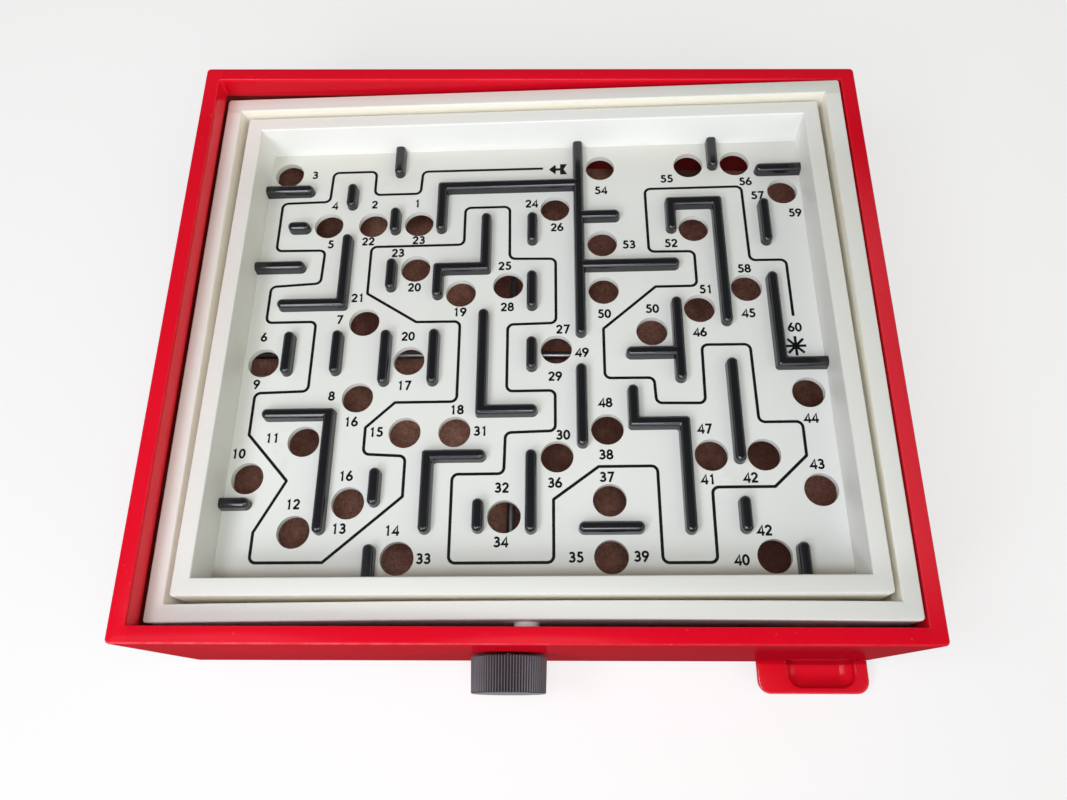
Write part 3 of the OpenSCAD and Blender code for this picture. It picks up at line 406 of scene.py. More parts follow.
class NodeSheet:
    """A node tree that is filled by one method."""

    def __init__(self, owner):
        owner.use_nodes = True
        self.tree = owner.node_tree
        self.tree.nodes.clear()

    def node(self, kind, sockets=(), output=0, **settings):
        """Adds a node: its settings first, then values or links of its sockets. Gives one of its outputs."""
        made = self.tree.nodes.new("ShaderNode" + kind)
        for key, value in settings.items():
            setattr(made, key, value)
        for key, value in dict(sockets).items():
            if isinstance(value, Signal):
                self.tree.links.new(value.socket, made.inputs[key])
            else:
                made.inputs[key].default_value = value
        return Signal(self, made.outputs[output]) if made.outputs else None

    def place(self, stretch=(1, 1, 1)):
        """Object coordinates in metres, stretched along the axes."""
        at = self.node("TexCoord", output=3)
        return at if stretch == (1, 1, 1) else self.node("Mapping", {"Vector": at, "Scale": stretch})

    def axes(self):
        """Object coordinates x, y and z."""
        at = self.place()
        return [self.node("SeparateXYZ", {0: at}, i) for i in range(3)]

    def within(self, x_reach, y_reach):
        """1 where x and y lie within their reach on both sides of the middle, 0 from a millimetre further out."""
        x, y, _ = self.axes()
        shares = [self.step(v ** 2.0, (r + 0.001) ** 2, r ** 2) for v, r in ((x, x_reach), (y, y_reach))]
        return shares[0] * shares[1]

    def noise(self, scale, detail=2.0, rough=0.5, stretch=(1, 1, 1), distort=0.0):
        """Noise from 0 to 1 with about scale patches in a metre."""
        sockets = {"Vector": self.place(stretch), "Scale": scale, "Detail": detail, "Roughness": rough,
                   "Distortion": distort}
        return self.node("TexNoise", sockets)

    def step(self, value, low, high, start=0.0, end=1.0):
        """Value mapped from low..high to start..end and held there."""
        sockets = {"Value": value, "From Min": low, "From Max": high, "To Min": start, "To Max": end}
        return self.node("MapRange", sockets, interpolation_type="SMOOTHSTEP")

    def mix(self, share, first, second):
        """Colour between two colours."""
        return self.node("Mix", {0: share, 6: first, 7: second}, 2, data_type="RGBA")

    def paint(self, base, *coats):
        """Display colour with coats over it, each given as its share and its display colour."""
        made = rgb(*base)
        for share, *over in coats:
            made = self.mix(share, made, rgb(*over))
        return made

    def worn(self):
        """Values that a piece carries on its points: wear on edges, the rib crests on the knobs, and on the cords the
        strands' pattern, which their finish uses for painted shade.
        """
        return self.node("Attribute", output=2, attribute_name="wear")

    def upright(self):
        """1 on faces that stand upright, 0 on level ones: taken from the height of the normal, squared."""
        normal = self.node("NewGeometry", output=1)
        return self.step(self.node("SeparateXYZ", {0: normal}, 2) ** 2.0, 0.3, 0.05)

    def bump(self, height, strength, distance):
        """Normal of a surface raised by height times distance in metres."""
        return self.node("Bump", {"Height": height, "Strength": strength, "Distance": distance})


def rgb(red, green, blue):
    """Display values from 0 to 255 as a linear colour."""
    c = np.array([red, green, blue]) / 255
    linear = np.where(c <= 0.04045, c / 12.92, ((c + 0.055) / 1.055) ** 2.4)
    return (*linear.tolist(), 1.0)


def grey(level):
    """Linear grey."""
    return (level, level, level, 1.0)


def finish_of(make):
    """A material with the name of make, whose surface is a Principled shader with the sockets that make returns."""
    material = bpy.data.materials.new(make.__name__)
    sheet = NodeSheet(material)
    sheet.node("OutputMaterial", {"Surface": sheet.node("BsdfPrincipled", make(sheet))})
    return material


def red_moulding(s):
    """Red plastic: cloudy depth of colour, scuffed edges, a painted highlight along the front edge to the left, fine
    scratches, painted sheen as a pale haze on the right rim, dusty inside the box, polished on the skirt and most on
    the tray. Painted shade darkens the front wall to the right, and the inside of the back wall is darker; painted
    light brightens the tray and most its dish, the back rim, the left rim and the skirt at the left."""
    cloud, grain = s.noise(14, 3), s.noise(700, 3, 0.6)
    scratch = s.step(s.noise(60, 2, 0.5, (1, 14, 14)), 0.66, 0.70)
    nick = s.step(s.noise(420, 2, 0.7), 0.70, 0.76)
    edge = s.worn() * s.step(s.noise(160, 3, 0.7), 0.30, 0.72, 0.35, 1.0)
    x, y, z = s.axes()
    inside = s.within(0.1602, 0.1377)
    tray, rim = s.step(y, -0.1402, -0.1412), s.step(z, 0.0895, 0.0912)
    left = s.step(x, -0.1535, -0.1548)
    skirt = inside * left * (1 - rim) * s.step(z, 0.076, 0.081)
    # Painted sheen: a pale haze on part of the right rim
    held = s.step(x, 0.1530, 0.1565) * s.step(y, 0.10, 0.03) * s.step(y, -0.146, -0.090)
    rim_sheen = rim * held * (0.5 + 0.5 * cloud)
    dust = inside * s.step(z, 0.084, 0.076)
    # Painted shade: the front wall darker towards the right. The inside of the back wall is darker as well.
    front = s.step(y, -0.1382, -0.1389) * (1 - tray)
    front_shade_back_darker = (1 - rim) * (front * s.step(x, -0.11, 0.11, 0.05, 0.32) + inside * s.step(y, 0.128, 0.131, 0.0, 0.2))
    # Scuffed pale edges, and a painted highlight along the front edge, strongest towards the left
    bare_and_highlight = edge * (0.11 + front * s.step(x, 0.06, -0.12, 0.0, 0.4))
    # Painted light: the tray and most its dish, the skirt at the left, the back rim and the left rim lighter
    painted_light = tray * (0.28 + 0.72 * s.step(z, 0.0068, 0.0050)) + skirt * 0.7
    painted_light = painted_light + rim * (s.step(y, 0.10, 0.134, 0.0, 0.4) + left * 0.22)
    base = s.paint(
        (204, 8, 30), (cloud, 222, 16, 40), (front_shade_back_darker, 120, 4, 18), (painted_light, 244, 22, 46),
        (bare_and_highlight + nick * 0.16 + rim_sheen * 0.14, 240, 130, 138), (dust * 0.35, 128, 92, 80))
    coat = (0.22 * inside + 0.08 * rim * (1 - inside)) * (1 - rim * s.step(y, -0.126, -0.131, 0.0, 0.85))
    rough = 0.30 + 0.10 * cloud + 0.14 * scratch + 0.2 * edge
    normal = s.bump(grain + scratch * 0.8, 0.05, 0.0004)
    return {"Base Color": base, "Roughness": rough, "Normal": normal, "Specular IOR Level": 0.0,
            "Coat Weight": 0.04 + coat + 0.35 * skirt + 0.8 * tray, "Coat Roughness": 0.17}


def white_moulding(s):
    """White plastic of the frames: faint yellowing, grey rubbed spots, painted shade at the front right, painted light
    on the back rail of the inner frame, painted warm bounce light on the upright faces in the gap between them, a
    satin skin."""
    cloud, grain = s.noise(11, 3), s.noise(900, 2, 0.6)
    spot = s.step(s.noise(95, 4, 0.7), 0.68, 0.80)
    edge = s.worn() * s.step(s.noise(140, 3, 0.7), 0.45, 0.75)
    x, y, _ = s.axes()
    # Painted shade at the front right
    painted_shade_front_right = s.step(y, -0.100, -0.116) * s.step(x + 0.02 * cloud, -0.09, 0.10, 0.12, 0.75)
    # Painted light on the back rail of the inner frame
    painted_light_back_rail = s.step(y, 0.080, 0.114, 0.0, 0.8) * s.step(y, 0.1235, 0.1222)
    # Painted bounce light: upright faces in the gap between the frames paler and creamier
    painted_bounce_gap = s.upright() * s.within(0.150, 0.1275) * (1 - s.within(0.139, 0.1165))
    base = s.paint(
        (223, 223, 215), (cloud, 229, 230, 226), (painted_light_back_rail, 243, 244, 240),
        (spot * 0.16 + edge * 0.12, 178, 174, 164), (painted_shade_front_right, 209, 209, 203), (painted_bounce_gap * 0.65, 252, 246, 229))
    return {"Base Color": base, "Roughness": 0.30 + 0.12 * cloud + 0.15 * spot,
            "Normal": s.bump(grain, 0.05, 0.0003), "Specular IOR Level": 0.3}


def board_coating(s):
    """White coat of the board: even, a little cool, with faint grey stains, and painted shade, partly dust, along the
    feet of the front and back walls."""
    cloud, grain = s.noise(9, 3), s.noise(1300, 2, 0.6)
    stain = s.step(s.noise(38, 4, 0.65), 0.60, 0.82)
    _, y, _ = s.axes()
    # Painted shade, partly dust, along the feet of the front and back walls
    foot = s.step(y + s.noise(30, 3) * 0.006, -0.092, -0.112, 0.0, 0.42) + s.step(y, -0.1035, -0.1105, 0.0, 0.34)
    foot = foot + s.step(y, 0.080, 0.112, 0.0, 0.22)
    base = s.paint((226, 227, 221), (cloud, 233, 235, 231), (foot, 136, 116, 88), (stain * 0.22, 190, 186, 172))
    return {"Base Color": base, "Roughness": 0.36 + 0.14 * stain, "Normal": s.bump(grain, 0.05, 0.0003),
            "Specular IOR Level": 0.3}


def black_moulding(s):
    """Glossy black plastic of the ridges, dulled by fingers and dusty in places."""
    cloud, grain = s.noise(60, 3), s.noise(1500, 2, 0.6)
    dust = s.step(s.noise(1100, 2, 0.6), 0.74, 0.80)
    base = s.paint((8, 9, 14), (cloud, 14, 15, 21), (dust * 0.3, 90, 88, 84))
    return {"Base Color": base, "Roughness": 0.17 + 0.10 * cloud, "Normal": s.bump(grain, 0.03, 0.0003),
            "Specular IOR Level": 0.72}


def printed_ink(s):
    """Black ink that soaked a little unevenly into the coat."""
    grain = s.noise(2200, 3, 0.7)
    return {"Base Color": s.paint((6, 8, 8), (grain, 18, 20, 20)), "Roughness": 0.45 + 0.2 * grain,
            "Specular IOR Level": 0.15}


def knob_moulding(s):
    """Charcoal plastic of the knobs: pale rib crests, dark grooves and a few bright specks."""
    cloud, grain = s.noise(120, 3), s.noise(2600, 3, 0.7)
    speck = s.step(s.noise(900, 2, 0.6), 0.74, 0.78)
    crest = s.worn() * (0.55 + 0.45 * cloud)
    base = s.paint((22, 22, 25), (crest, 122, 120, 127), (speck * 0.5, 190, 188, 186))
    return {"Base Color": base, "Roughness": 0.34 + 0.2 * grain, "Normal": s.bump(grain, 0.12, 0.0003),
            "Specular IOR Level": 0.45}


def hardboard_fibre(s):
    """Brown pressed fibre: short dark and pale fibres crossing, over slow changes of tone."""
    cloud = s.noise(22, 4, 0.6)
    across, along = s.noise(420, 4, 0.7, (1, 4, 1), 0.6), s.noise(420, 4, 0.7, (4, 1, 1), 0.6)
    fibre = across * 0.5 + along * 0.5
    pale, dark = s.step(fibre, 0.35, 0.65), s.step(cloud, 0.4, 0.62, 0.0, 0.7)
    return {"Base Color": s.paint((168, 112, 93), (pale, 226, 172, 145), (dark, 104, 50, 43)),
            "Roughness": 0.5 + 0.25 * fibre, "Normal": s.bump(fibre, 0.25, 0.0004), "Specular IOR Level": 0.3}


def drawn_steel(s):
    """Drawn steel: fine turned lines and a slight grey film."""
    line, film = s.noise(3000, 2, 0.5, (1, 0.05, 1)), s.noise(70, 3)
    return {"Base Color": s.paint((150, 150, 153), (film, 178, 178, 180)), "Metallic": 1.0,
            "Roughness": 0.24 + 0.14 * line + 0.08 * film, "Normal": s.bump(line, 0.08, 0.0002)}


def twisted_string(s):
    """Off-white twisted cord: painted shade between the strands, paler on their backs, fuzzy."""
    fuzz = s.noise(4200, 4, 0.8)
    # Painted shade: darker between the strands, paler on their backs
    return {"Base Color": s.paint((120, 110, 88), (s.worn(), 224, 216, 194), (fuzz * 0.4, 196, 184, 154)),
            "Roughness": 0.75 + 0.2 * fuzz, "Normal": s.bump(fuzz, 0.35, 0.0002)}


RED, WHITE, COATING, BLACK, INK, KNOB, BROWN, STEEL, STRING = map(finish_of, (
    red_moulding, white_moulding, board_coating, black_moulding, printed_ink, knob_moulding, hardboard_fibre,
    drawn_steel, twisted_string))

# ---- box and tray


def lean(height):
    """How far the wall stands in from the rim at a height."""
    return DRAFT * (1 - height / BOX_H)


def cut(target, shapes):
    """Takes closed surfaces away from a piece and keeps the result as its mesh."""
    tool = piece("cutter", shapes, RED, None)
    change = target.modifiers.new("cut", "BOOLEAN")
    change.operation, change.solver, change.object = "DIFFERENCE", "EXACT", tool
    bpy.context.view_layer.update()
    mesh = bpy.data.meshes.new_from_object(target.evaluated_get(bpy.context.evaluated_depsgraph_get()))
    target.modifiers.clear()
    target.data = mesh
    bpy.data.objects.remove(tool)
    mesh.set_sharp_from_angle(angle=np.radians(CREASE))


def box_walls():
    """Walls, rim and skirt: one closed section with soft edges carried round the box,
    then the arched outlet and the shafts' bores are cut out of it."""
    under = BOX_H - RIM_T
    corners = [(DRAFT, 0), (0, BOX_H), (RIM_W, BOX_H), (RIM_W, BOX_H - SKIRT_H),
               (RIM_W - SKIRT_T, BOX_H - SKIRT_H), (RIM_W - SKIRT_T, under), (WALL + lean(under), under),
               (WALL + DRAFT, 0)]
    section, wear = soften(corners, [0.4, 0.9, 0.5, 0.5, 0.5, 0.4, 0.4, 0.4])
    inset = section[:, 0]
    outside = CORNER_R - (inset - lean(section[:, 1]))
    group = np.repeat(np.arange(len(corners)), len(section) // len(corners))
    radius = np.select([group < 2, group < 6], [outside, OPEN_R + RIM_W - inset], CAVITY_R)
    walls = ring(BOX_W, BOX_D, section, wear, radius)
    walls = piece("box_walls", [walls], RED, "base", ["box_shell"])
    arch, _ = soften([(OUTLET_W, -2), (OUTLET_W, OUTLET_H), (-OUTLET_W, OUTLET_H), (-OUTLET_W, -2)],
                     [0, OUTLET_R, OUTLET_R, 0], 8)
    bore = rod(BORE_R, BORE_L, 32)  # each cut starts beside the wall and passes through it
    cut(walls, [along_y(prism(arch, 0, OUTLET_L), DISH_X, -BOX_D - 1), along_y(bore, FRONT_X, -BOX_D - 2, FRONT_Z),
                along_x(bore, BOX_W - 5.5, SIDE_Y, SIDE_Z)])


def floor_underside(x, y):
    """Height of the sloping floor's lower face."""
    n = about("y", FALL_RIGHT) @ about("x", FALL_FRONT) @ np.array([0, 0, 1.0])
    x0, y0 = BOX_W - DRAFT - WALL, -(BOX_D - DRAFT - WALL)
    return FLOOR_LOW - FLOOR_T - (n[0] * (x - x0) + n[1] * (y - y0)) / n[2]


def box_fittings():
    """Ribs under the floor, blocks behind the rim for the pivots and bosses for the shafts."""
    foot_x, foot_y = BOX_W - DRAFT - WALL / 2, BOX_D - DRAFT - WALL / 2
    rows_x, rows_y = np.arange(-2, 3) * BOX_W * RIB_STEP, np.arange(-1.5, 2) * BOX_D * RIB_STEP
    low = [(x - RIB_HALF, y, 0) for y in (foot_y - RIB_L, -foot_y) for x in rows_x][:-1]
    size = [(2 * RIB_HALF, RIB_L, 1)] * len(low)
    low += [(x, y - RIB_HALF, 0) for x in (foot_x - RIB_L, -foot_x) for y in rows_y]
    size += [(RIB_L, 2 * RIB_HALF, 1)] * (len(low) - len(size))
    ribs = blocks(low, np.array(low) + size, floor_underside)
    back, inner = BOX_D - WALL / 2 - lean(PIVOT_Z), BOX_D - RIM_W + 0.05
    foot, top = PIVOT_Z - BEARING_W, BOX_H - RIM_T / 2
    seats = blocks([(-BEARING_W, inner, foot), (-BEARING_W, -back, foot)],
                   [(BEARING_W, back, top), (BEARING_W, -inner, top)])
    end = BOSS_L + BOSS_SINK
    section, wear = soften([(BORE_R, 0), (BOSS_R, 0), (BOSS_R, end), (BORE_R, end)], [0.3, 0.5, 0, 0], 3)
    boss = lathe(section, 40, wear[:, None], True)
    deep_x, deep_y = BOX_W - WALL - BOSS_L, BOX_D - WALL - BOSS_L
    bosses = [along_y(boss, FRONT_X, sign * deep_y, FRONT_Z, sign) for sign in (-1, 1)]
    bosses += [along_x(boss, sign * deep_x, SIDE_Y, SIDE_Z, sign) for sign in (1, -1)]
    piece("box_fittings", [ribs, seats] + bosses, RED, "base", ["box_shell"])


def ball_tray():
    """Tray: a section runs from the dish's spine up its round side, over the lip, across the flange, round its
    edge and back below. It is carried round the dish, and each place on the dish has one on the flange's edge."""
    seat = -(BOX_D - lean(TRAY_LEVEL))
    tip, inside = seat - TRAY_L, -(BOX_D - DRAFT - WALL)
    front, half = tip + DISH_MARGIN + DISH_R, DISH_W - DISH_R
    quarter = span(0, 90, 9)
    wall_y = np.array([inside, seat])
    side_y = np.linspace(seat - 0.02, front, 5)
    across = np.linspace(-half, half, 7)[1:-1]

    def one_half(sign):
        """Spine, direction, edge point, edge direction and share of edge rounding of the left or right half,
        from the back to the middle."""
        ones = np.ones(len(side_y))
        corner = np.array([TRAY_X + sign * (TRAY_W - TRAY_R), tip + TRAY_R])
        turn = stack(sign * np.cos(quarter), -np.sin(quarter))
        spine_x = DISH_X + sign * half
        spine = join([
            stack(np.full(2, spine_x), wall_y), stack(spine_x * ones, side_y),
            np.broadcast_to([spine_x, front], (9, 2))])
        aim = join([np.broadcast_to([sign, 0.0], (2 + len(side_y), 2)), turn])
        edge_y = np.linspace(seat - 0.02, tip + TRAY_R, len(side_y))
        edge = join([
            spine[:2] + (DISH_R + DISH_T) * aim[:2],
            stack((TRAY_X + sign * TRAY_W) * ones, edge_y), corner + TRAY_R * turn])
        return spine, aim, edge, aim, join([[0.4, 0.4], np.ones(len(spine) - 2)])

    left, right = one_half(-1), one_half(1)
    share = (across + half) / (2 * half)
    edge_x = TRAY_X + (2 * share - 1) * (TRAY_W - TRAY_R)
    down = np.broadcast_to([0.0, -1.0], (len(across), 2))
    middle = (stack(DISH_X + across, np.full(len(across), front)), down,
              stack(edge_x, np.full(len(across), tip)), down, np.ones(len(across)))
    spine, aim, edge, edge_aim, share = (join([a, b, c[::-1]]) for a, b, c in zip(left, middle, right))
    # Heights of the dish with its lip, of the flange's edge and of the underside, with places across them
    up, outside = span(0, 76, 10), span(75.5, 0, 9)
    dish = join([
        stack(DISH_R * np.sin(up), TRAY_LEVEL - DISH_R * np.cos(up)),
        [(DISH_R + 0.02, 7.2), (DISH_R + 0.16, 7.66), (DISH_R + 0.46, 7.92), (DISH_R + 0.85, TRAY_LEVEL)]])
    rim = np.array([(0.9, 8.0), (0.42, 7.88), (0.12, 7.58), (0, 7.1), (0, 6.5), (0.15, 6.15), (0.5, 6.0)])
    hull = DISH_R + DISH_T
    below = stack(hull * np.sin(outside), TRAY_LEVEL - hull * np.cos(outside))
    from_spine = lambda part: spine[None] + part[:, :1, None] * aim[None]
    flat = join([
        from_spine(dish), edge[None] - rim[:, :1, None] * share[None, :, None] * edge_aim[None], from_spine(below)])
    heights = join([dish[:, 1], rim[:, 1], below[:, 1]])
    rows, columns = flat.shape[:2]
    new_place = np.flatnonzero(join([[1], np.linalg.norm(np.diff(spine, axis=0), axis=1)]) > 1e-6)
    last = np.arange(rows) * columns + columns - 1
    caps = [new_place, new_place + (rows - 1) * columns, join([np.arange(rows) * columns, last[::-1]])]
    wear = join([np.zeros(len(dish)), [0, 0.5, 1, 0.6, 0.3, 0.5, 0], np.zeros(len(below))])
    tray = surface(raised(flat, heights[:, None]), caps=caps, wear=wear[:, None])
    piece("ball_tray_dish", [tray], RED, "base", ["ball_tray"], ROUND_CREASE)


# ---- frames


def channel(half_w, half_d, lip, between=0):
    """Frame: an inverted channel, with a ledge for the board if asked, carried round the frame."""
    h, inner = FRAME_H, FRAME_T - FRAME_SKIN
    corners = [(0, -h), (0, h), (FRAME_T, h), (FRAME_T, -h), (inner, -h), (inner, h - FRAME_ROOF),
               (FRAME_SKIN, h - FRAME_ROOF), (FRAME_SKIN, -h)]
    radii = [0.3, 0.7, 0.7, 0.3, 0.3, 0.4, 0.4, 0.3]
    if lip:
        corners[3:4] = [(FRAME_T, LIP_T - h), (FRAME_T + LIP_W, LIP_T - h), (FRAME_T + LIP_W, -h)]
        radii[3:4] = [0.15, 0.2, 0.2]
    section, wear = soften(corners, radii)
    return ring(half_w, half_d, section, wear, np.maximum(FRAME_R - section[:, 0], FRAME_LEAST_R), between)


def warped(points):
    """Outer frame as it has set: its front rail bows inwards, most in the middle, and its sides stand out a little."""
    x, y, z = points.T
    front = np.clip((-y - BEND_FROM) / 20, 0, 1)
    y = y + front * (BOW_ENDS + BOW_MIDDLE * np.clip(1 - (x / BOW_HALF) ** 2, 0, 1))
    return stack(x + np.sign(x) * SIDES_OUT * np.clip((np.abs(x) - BEND_FROM) / 40, 0, 1), y, z)


def lug(x, y, lay):
    """Cord lug below a frame: a plate with a half-round foot, in a solid part of the channel, laid along x or y."""
    outline = join([[(LUG_W, LUG_TOP), (-LUG_W, LUG_TOP)], arc(0, LUG_Z, LUG_W, LUG_W, 180, 360, 17)])
    solid = blocks([(-LUG_W, -FRAME_H, -SOLID_HALF)], [(LUG_W, SOLID_TOP, SOLID_HALF)])
    return [lay(part, x, y) for part in (prism(outline, -LUG_T / 2, LUG_T / 2), solid)]


def bearings(places):
    """Solid parts of a channel at its pivots: each place is a middle x, y with half widths."""
    x, y, w, d = np.array(places).T
    return blocks(stack(x - w, y - d, 0 * x - FRAME_H), stack(x + w, y + d, 0 * x + SOLID_TOP))


def frames():
    """Outer and inner frame with the solid parts at their pivots and the lugs of the cords."""
    places = [(x, 0, SOLID_HALF, BEARING_W) for x in (-OUTER_X, OUTER_X)]
    places += [(0, y, BEARING_W, SOLID_HALF) for y in (-OUTER_Y, OUTER_Y)]
    boss = along_y(rod(PIVOT_BOSS_R, PIVOT_BOSS_L, 40), 0, -OUTER_D - PIVOT_BOSS_OUT)
    outer = [moved(channel(OUTER_W, OUTER_D, False, 24), warped), moved(bearings(places), warped), boss]
    outer = [moved(part, in_outer) for part in outer + sum((lug(*at, along_x) for at in FRONT_LUGS), [])]
    piece("outer_frame_rails", outer, WHITE, "roll_frame", ["outer_frame"])
    places = [(x, 0, SOLID_HALF, BEARING_W) for x in (-INNER_X, INNER_X)]
    inner = [channel(INNER_W, INNER_D, True), bearings(places)]
    inner = [moved(part, in_inner) for part in inner + sum((lug(*at, along_y) for at in SIDE_LUGS), [])]
    piece("inner_frame_rails", inner, WHITE, "pitch_frame", ["inner_frame"])


# ---- ridges and print on the board


def on_board(points):
    """Points on the board's upper face, put in the inner frame's place."""
    return in_inner(points + np.array([0, 0, BOARD_Z]))


def ridge(way, round_start=True, round_end=True):
    """Ridge: its section goes from the foot's middle up the leaning side and over the crown to the top's middle.
    A point w to the side lies at base + w * side, and the pairs of base and side go once round the way:
    along the left, round the end, back along the right, round the start. Bends are softened on both sides."""
    way = np.array(way, float) * [COLUMN, 1]
    ahead = unit(np.diff(way, axis=0))
    left = stack(-ahead[:, 1], ahead[:, 0])
    base = way.copy()
    base[0] += RIDGE_W * ahead[0] * round_start
    base[-1] -= RIDGE_W * ahead[-1] * round_end
    k = np.linspace(0, 1, 6)[:, None]

    def flank(normal):
        """Bases and sides along one flank, with each bend's corner turned in small steps."""
        bases, sides = [base[:1]], [normal[:1]]
        for i in range(len(normal) - 1):
            a, b = normal[i], normal[i + 1]
            mitre = (a + b) / (1 + a @ b)
            round_share = BEND_OUT if a @ ahead[i + 1] < 0 else BEND_IN
            sides.append((1 - round_share) * mitre + round_share * unit((1 - k) * a + k * b))
            bases.append(np.broadcast_to(way[i + 1], (len(k), 2)))
        return join(bases + [base[-1:]]), join(sides + [normal[-1:]])

    def cap(at, aim, normal, is_round):
        """Half turn about an end, from one flank to the other."""
        t = span(90, -90, 17)[1:-1, None] if is_round else np.zeros((0, 1))
        return np.broadcast_to(at, (len(t), 2)), np.cos(t) * aim + np.sin(t) * normal

    parts = [flank(left), cap(base[-1], ahead[-1], left[-1], round_end),
             tuple(a[::-1] for a in flank(-left)), cap(base[0], -ahead[0], -left[0], round_start)]
    foot, side = (join([p[i] for p in parts]) for i in (0, 1))
    middle = RIDGE_W - RIDGE_LEAN - RIDGE_CROWN
    crown = arc(middle, RIDGE_H - RIDGE_CROWN, RIDGE_CROWN, RIDGE_CROWN, 0, 90, 9)
    section = join([[(0, -RIDGE_SINK), (RIDGE_W, -RIDGE_SINK)], crown, [(0, RIDGE_H)]])
    flat = foot[None] + section[:, :1, None] * side[None]
    wear = join([[0, 0], np.sin(2 * span(0, 90, 9)), [0]])
    return moved(surface(raised(flat, section[:, 1:]), False, True, wear=wear[:, None]), on_board)


def ridges():
    """All ridges: each stands for the node of the same name."""

    def make(name, shapes):
        piece(name + "_gloss", shapes, BLACK, "pitch_frame", [name], ROUND_CREASE)

    make("ridge_bars", [ridge([(c, low), (c, high)]) for c, low, high in LONG_RIDGES]
         + [ridge([(a, y), (b, y)]) for a, b, y in CROSS_RIDGES])
    make("ridge_stubs", [ridge(way, False) for way in STUBS])
    for name, way in BENT_RIDGES.items():
        make(name, [ridge(way)])
    make("ridge_corner_right", [ridge(CORNER_RIGHT, True, False)])
    make("ridge_tee", [ridge(TEE[0]), ridge(TEE[1], False)])
    make("ridge_start", [ridge(way, False) for way in START])


def ribbon(path, width, closed=False):
    """Ink line: a flat section carried along a path, its sides on the mitre of each bend."""
    path = np.asarray(path, float)
    before, after = np.roll(path, 1, 0), np.roll(path, -1, 0)
    if not closed:
        before[0], after[-1] = 2 * path[0] - path[1], 2 * path[-1] - path[-2]
    a, b = unit(path - before), unit(after - path)
    a, b = (stack(-v[:, 1], v[:, 0]) for v in (a, b))
    side = (a + b) / np.maximum(1 + (a * b).sum(1, keepdims=True), 0.5) * width / 2
    left, right = path + side, path - side
    flat = np.stack([left, left, right, right], 1)
    grid = raised(flat, np.array([INK_LOW, INK_HIGH, INK_HIGH, INK_LOW]))
    caps = [] if closed else [np.arange(4), np.arange(4) + 4 * (len(path) - 1)]
    return moved(surface(grid, closed, True, caps), on_board)


def digit_strokes():
    """Strokes of each digit, one high with the ink's width, and whether each closes on itself."""
    line = lambda *points: (np.array(points, float), False)
    loop = lambda x, y, rx, ry: (arc(x, y, rx, ry, 0, 346, 26), True)
    chain = lambda *parts: (join([np.atleast_2d(p) for p in parts]), False)
    six = [loop(0.328, 0.32, 0.235, 0.225), line((0.10, 0.40), (0.15, 0.53), (0.45, 1.0))]
    return {
        "0": [loop(0.328, 0.5, 0.235, 0.405)],
        "1": [line((0.19, 0.74), (0.36, 0.90), (0.36, 0.0))],
        "2": [chain(arc(0.32, 0.68, 0.215, 0.225, 175, -35), (0.12, 0.10)), line((0.05, 0.095), (0.62, 0.095))],
        "3": [chain(arc(0.31, 0.705, 0.19, 0.20, 155, -85), arc(0.31, 0.31, 0.235, 0.215, 85, -155))],
        "4": [line((0.50, 0.0), (0.50, 0.93), (0.09, 0.28), (0.68, 0.28))],
        "5": [line((0.58, 0.905), (0.24, 0.905), (0.175, 0.55)), chain(arc(0.31, 0.335, 0.245, 0.24, 122, -152, 22))],
        "6": six,
        "7": [line((0.06, 0.905), (0.57, 0.905), (0.24, 0.0))],
        "8": [loop(0.328, 0.71, 0.185, 0.195), loop(0.328, 0.30, 0.235, 0.205)],
        "9": [(np.array([DIGIT_RIGHT, 1.0]) - stroke, closed) for stroke, closed in six],
    }


def print_on_board():
    """Route line with round square bends, the arrow at its start, the asterisk at its end and the numbers."""
    way = np.array(ROUTE)
    ahead = unit(np.diff(way, axis=0))
    square = np.abs((ahead[1:] * ahead[:-1]).sum(1)) < SQUARE_LIMIT
    route, _ = soften(way, join([[0], np.where(square, ROUTE_BEND, SLANT_BEND), [0]]), 6, closed=False)
    length = np.linalg.norm(np.diff(route, axis=0), axis=1)
    route = route[join([[True], length > 1e-4])]
    arrow = moved(prism(np.array(ARROW), INK_LOW, INK_HIGH), on_board)
    ends = np.array(STAR_ARMS)[:, None] * arc(0, 0, 1, 1, 0, 135, 4)
    middle = np.array(STAR_AT)
    star = [ribbon([middle - e, middle + e], STAR_W) for e in ends]
    star.append(moved(prism(middle + arc(0, 0, STAR_R, STAR_R, 0, 345, 24), INK_LOW, INK_HIGH), on_board))
    piece("printed_route", [ribbon(route, ROUTE_W), arrow] + star, INK, "pitch_frame")
    strokes, shapes = digit_strokes(), []
    for number, x, y in NUMBERS:
        label = str(number)
        left = ONE_LEFT if label[0] == "1" else 0.0
        right = DIGIT_STEP * (len(label) - 1) + (ONE_RIGHT if label[-1] == "1" else DIGIT_RIGHT)
        start = np.array([x - DIGIT_H * (left + right) / 2, y - DIGIT_H / 2])
        for i, c in enumerate(label):
            corner = start + [DIGIT_H * DIGIT_STEP * i, 0]
            shapes += [ribbon(corner + DIGIT_H * stroke, DIGIT_W, closed) for stroke, closed in strokes[c]]
    piece("printed_numbers", shapes, INK, "pitch_frame")


# ---- knobs, cords and springs


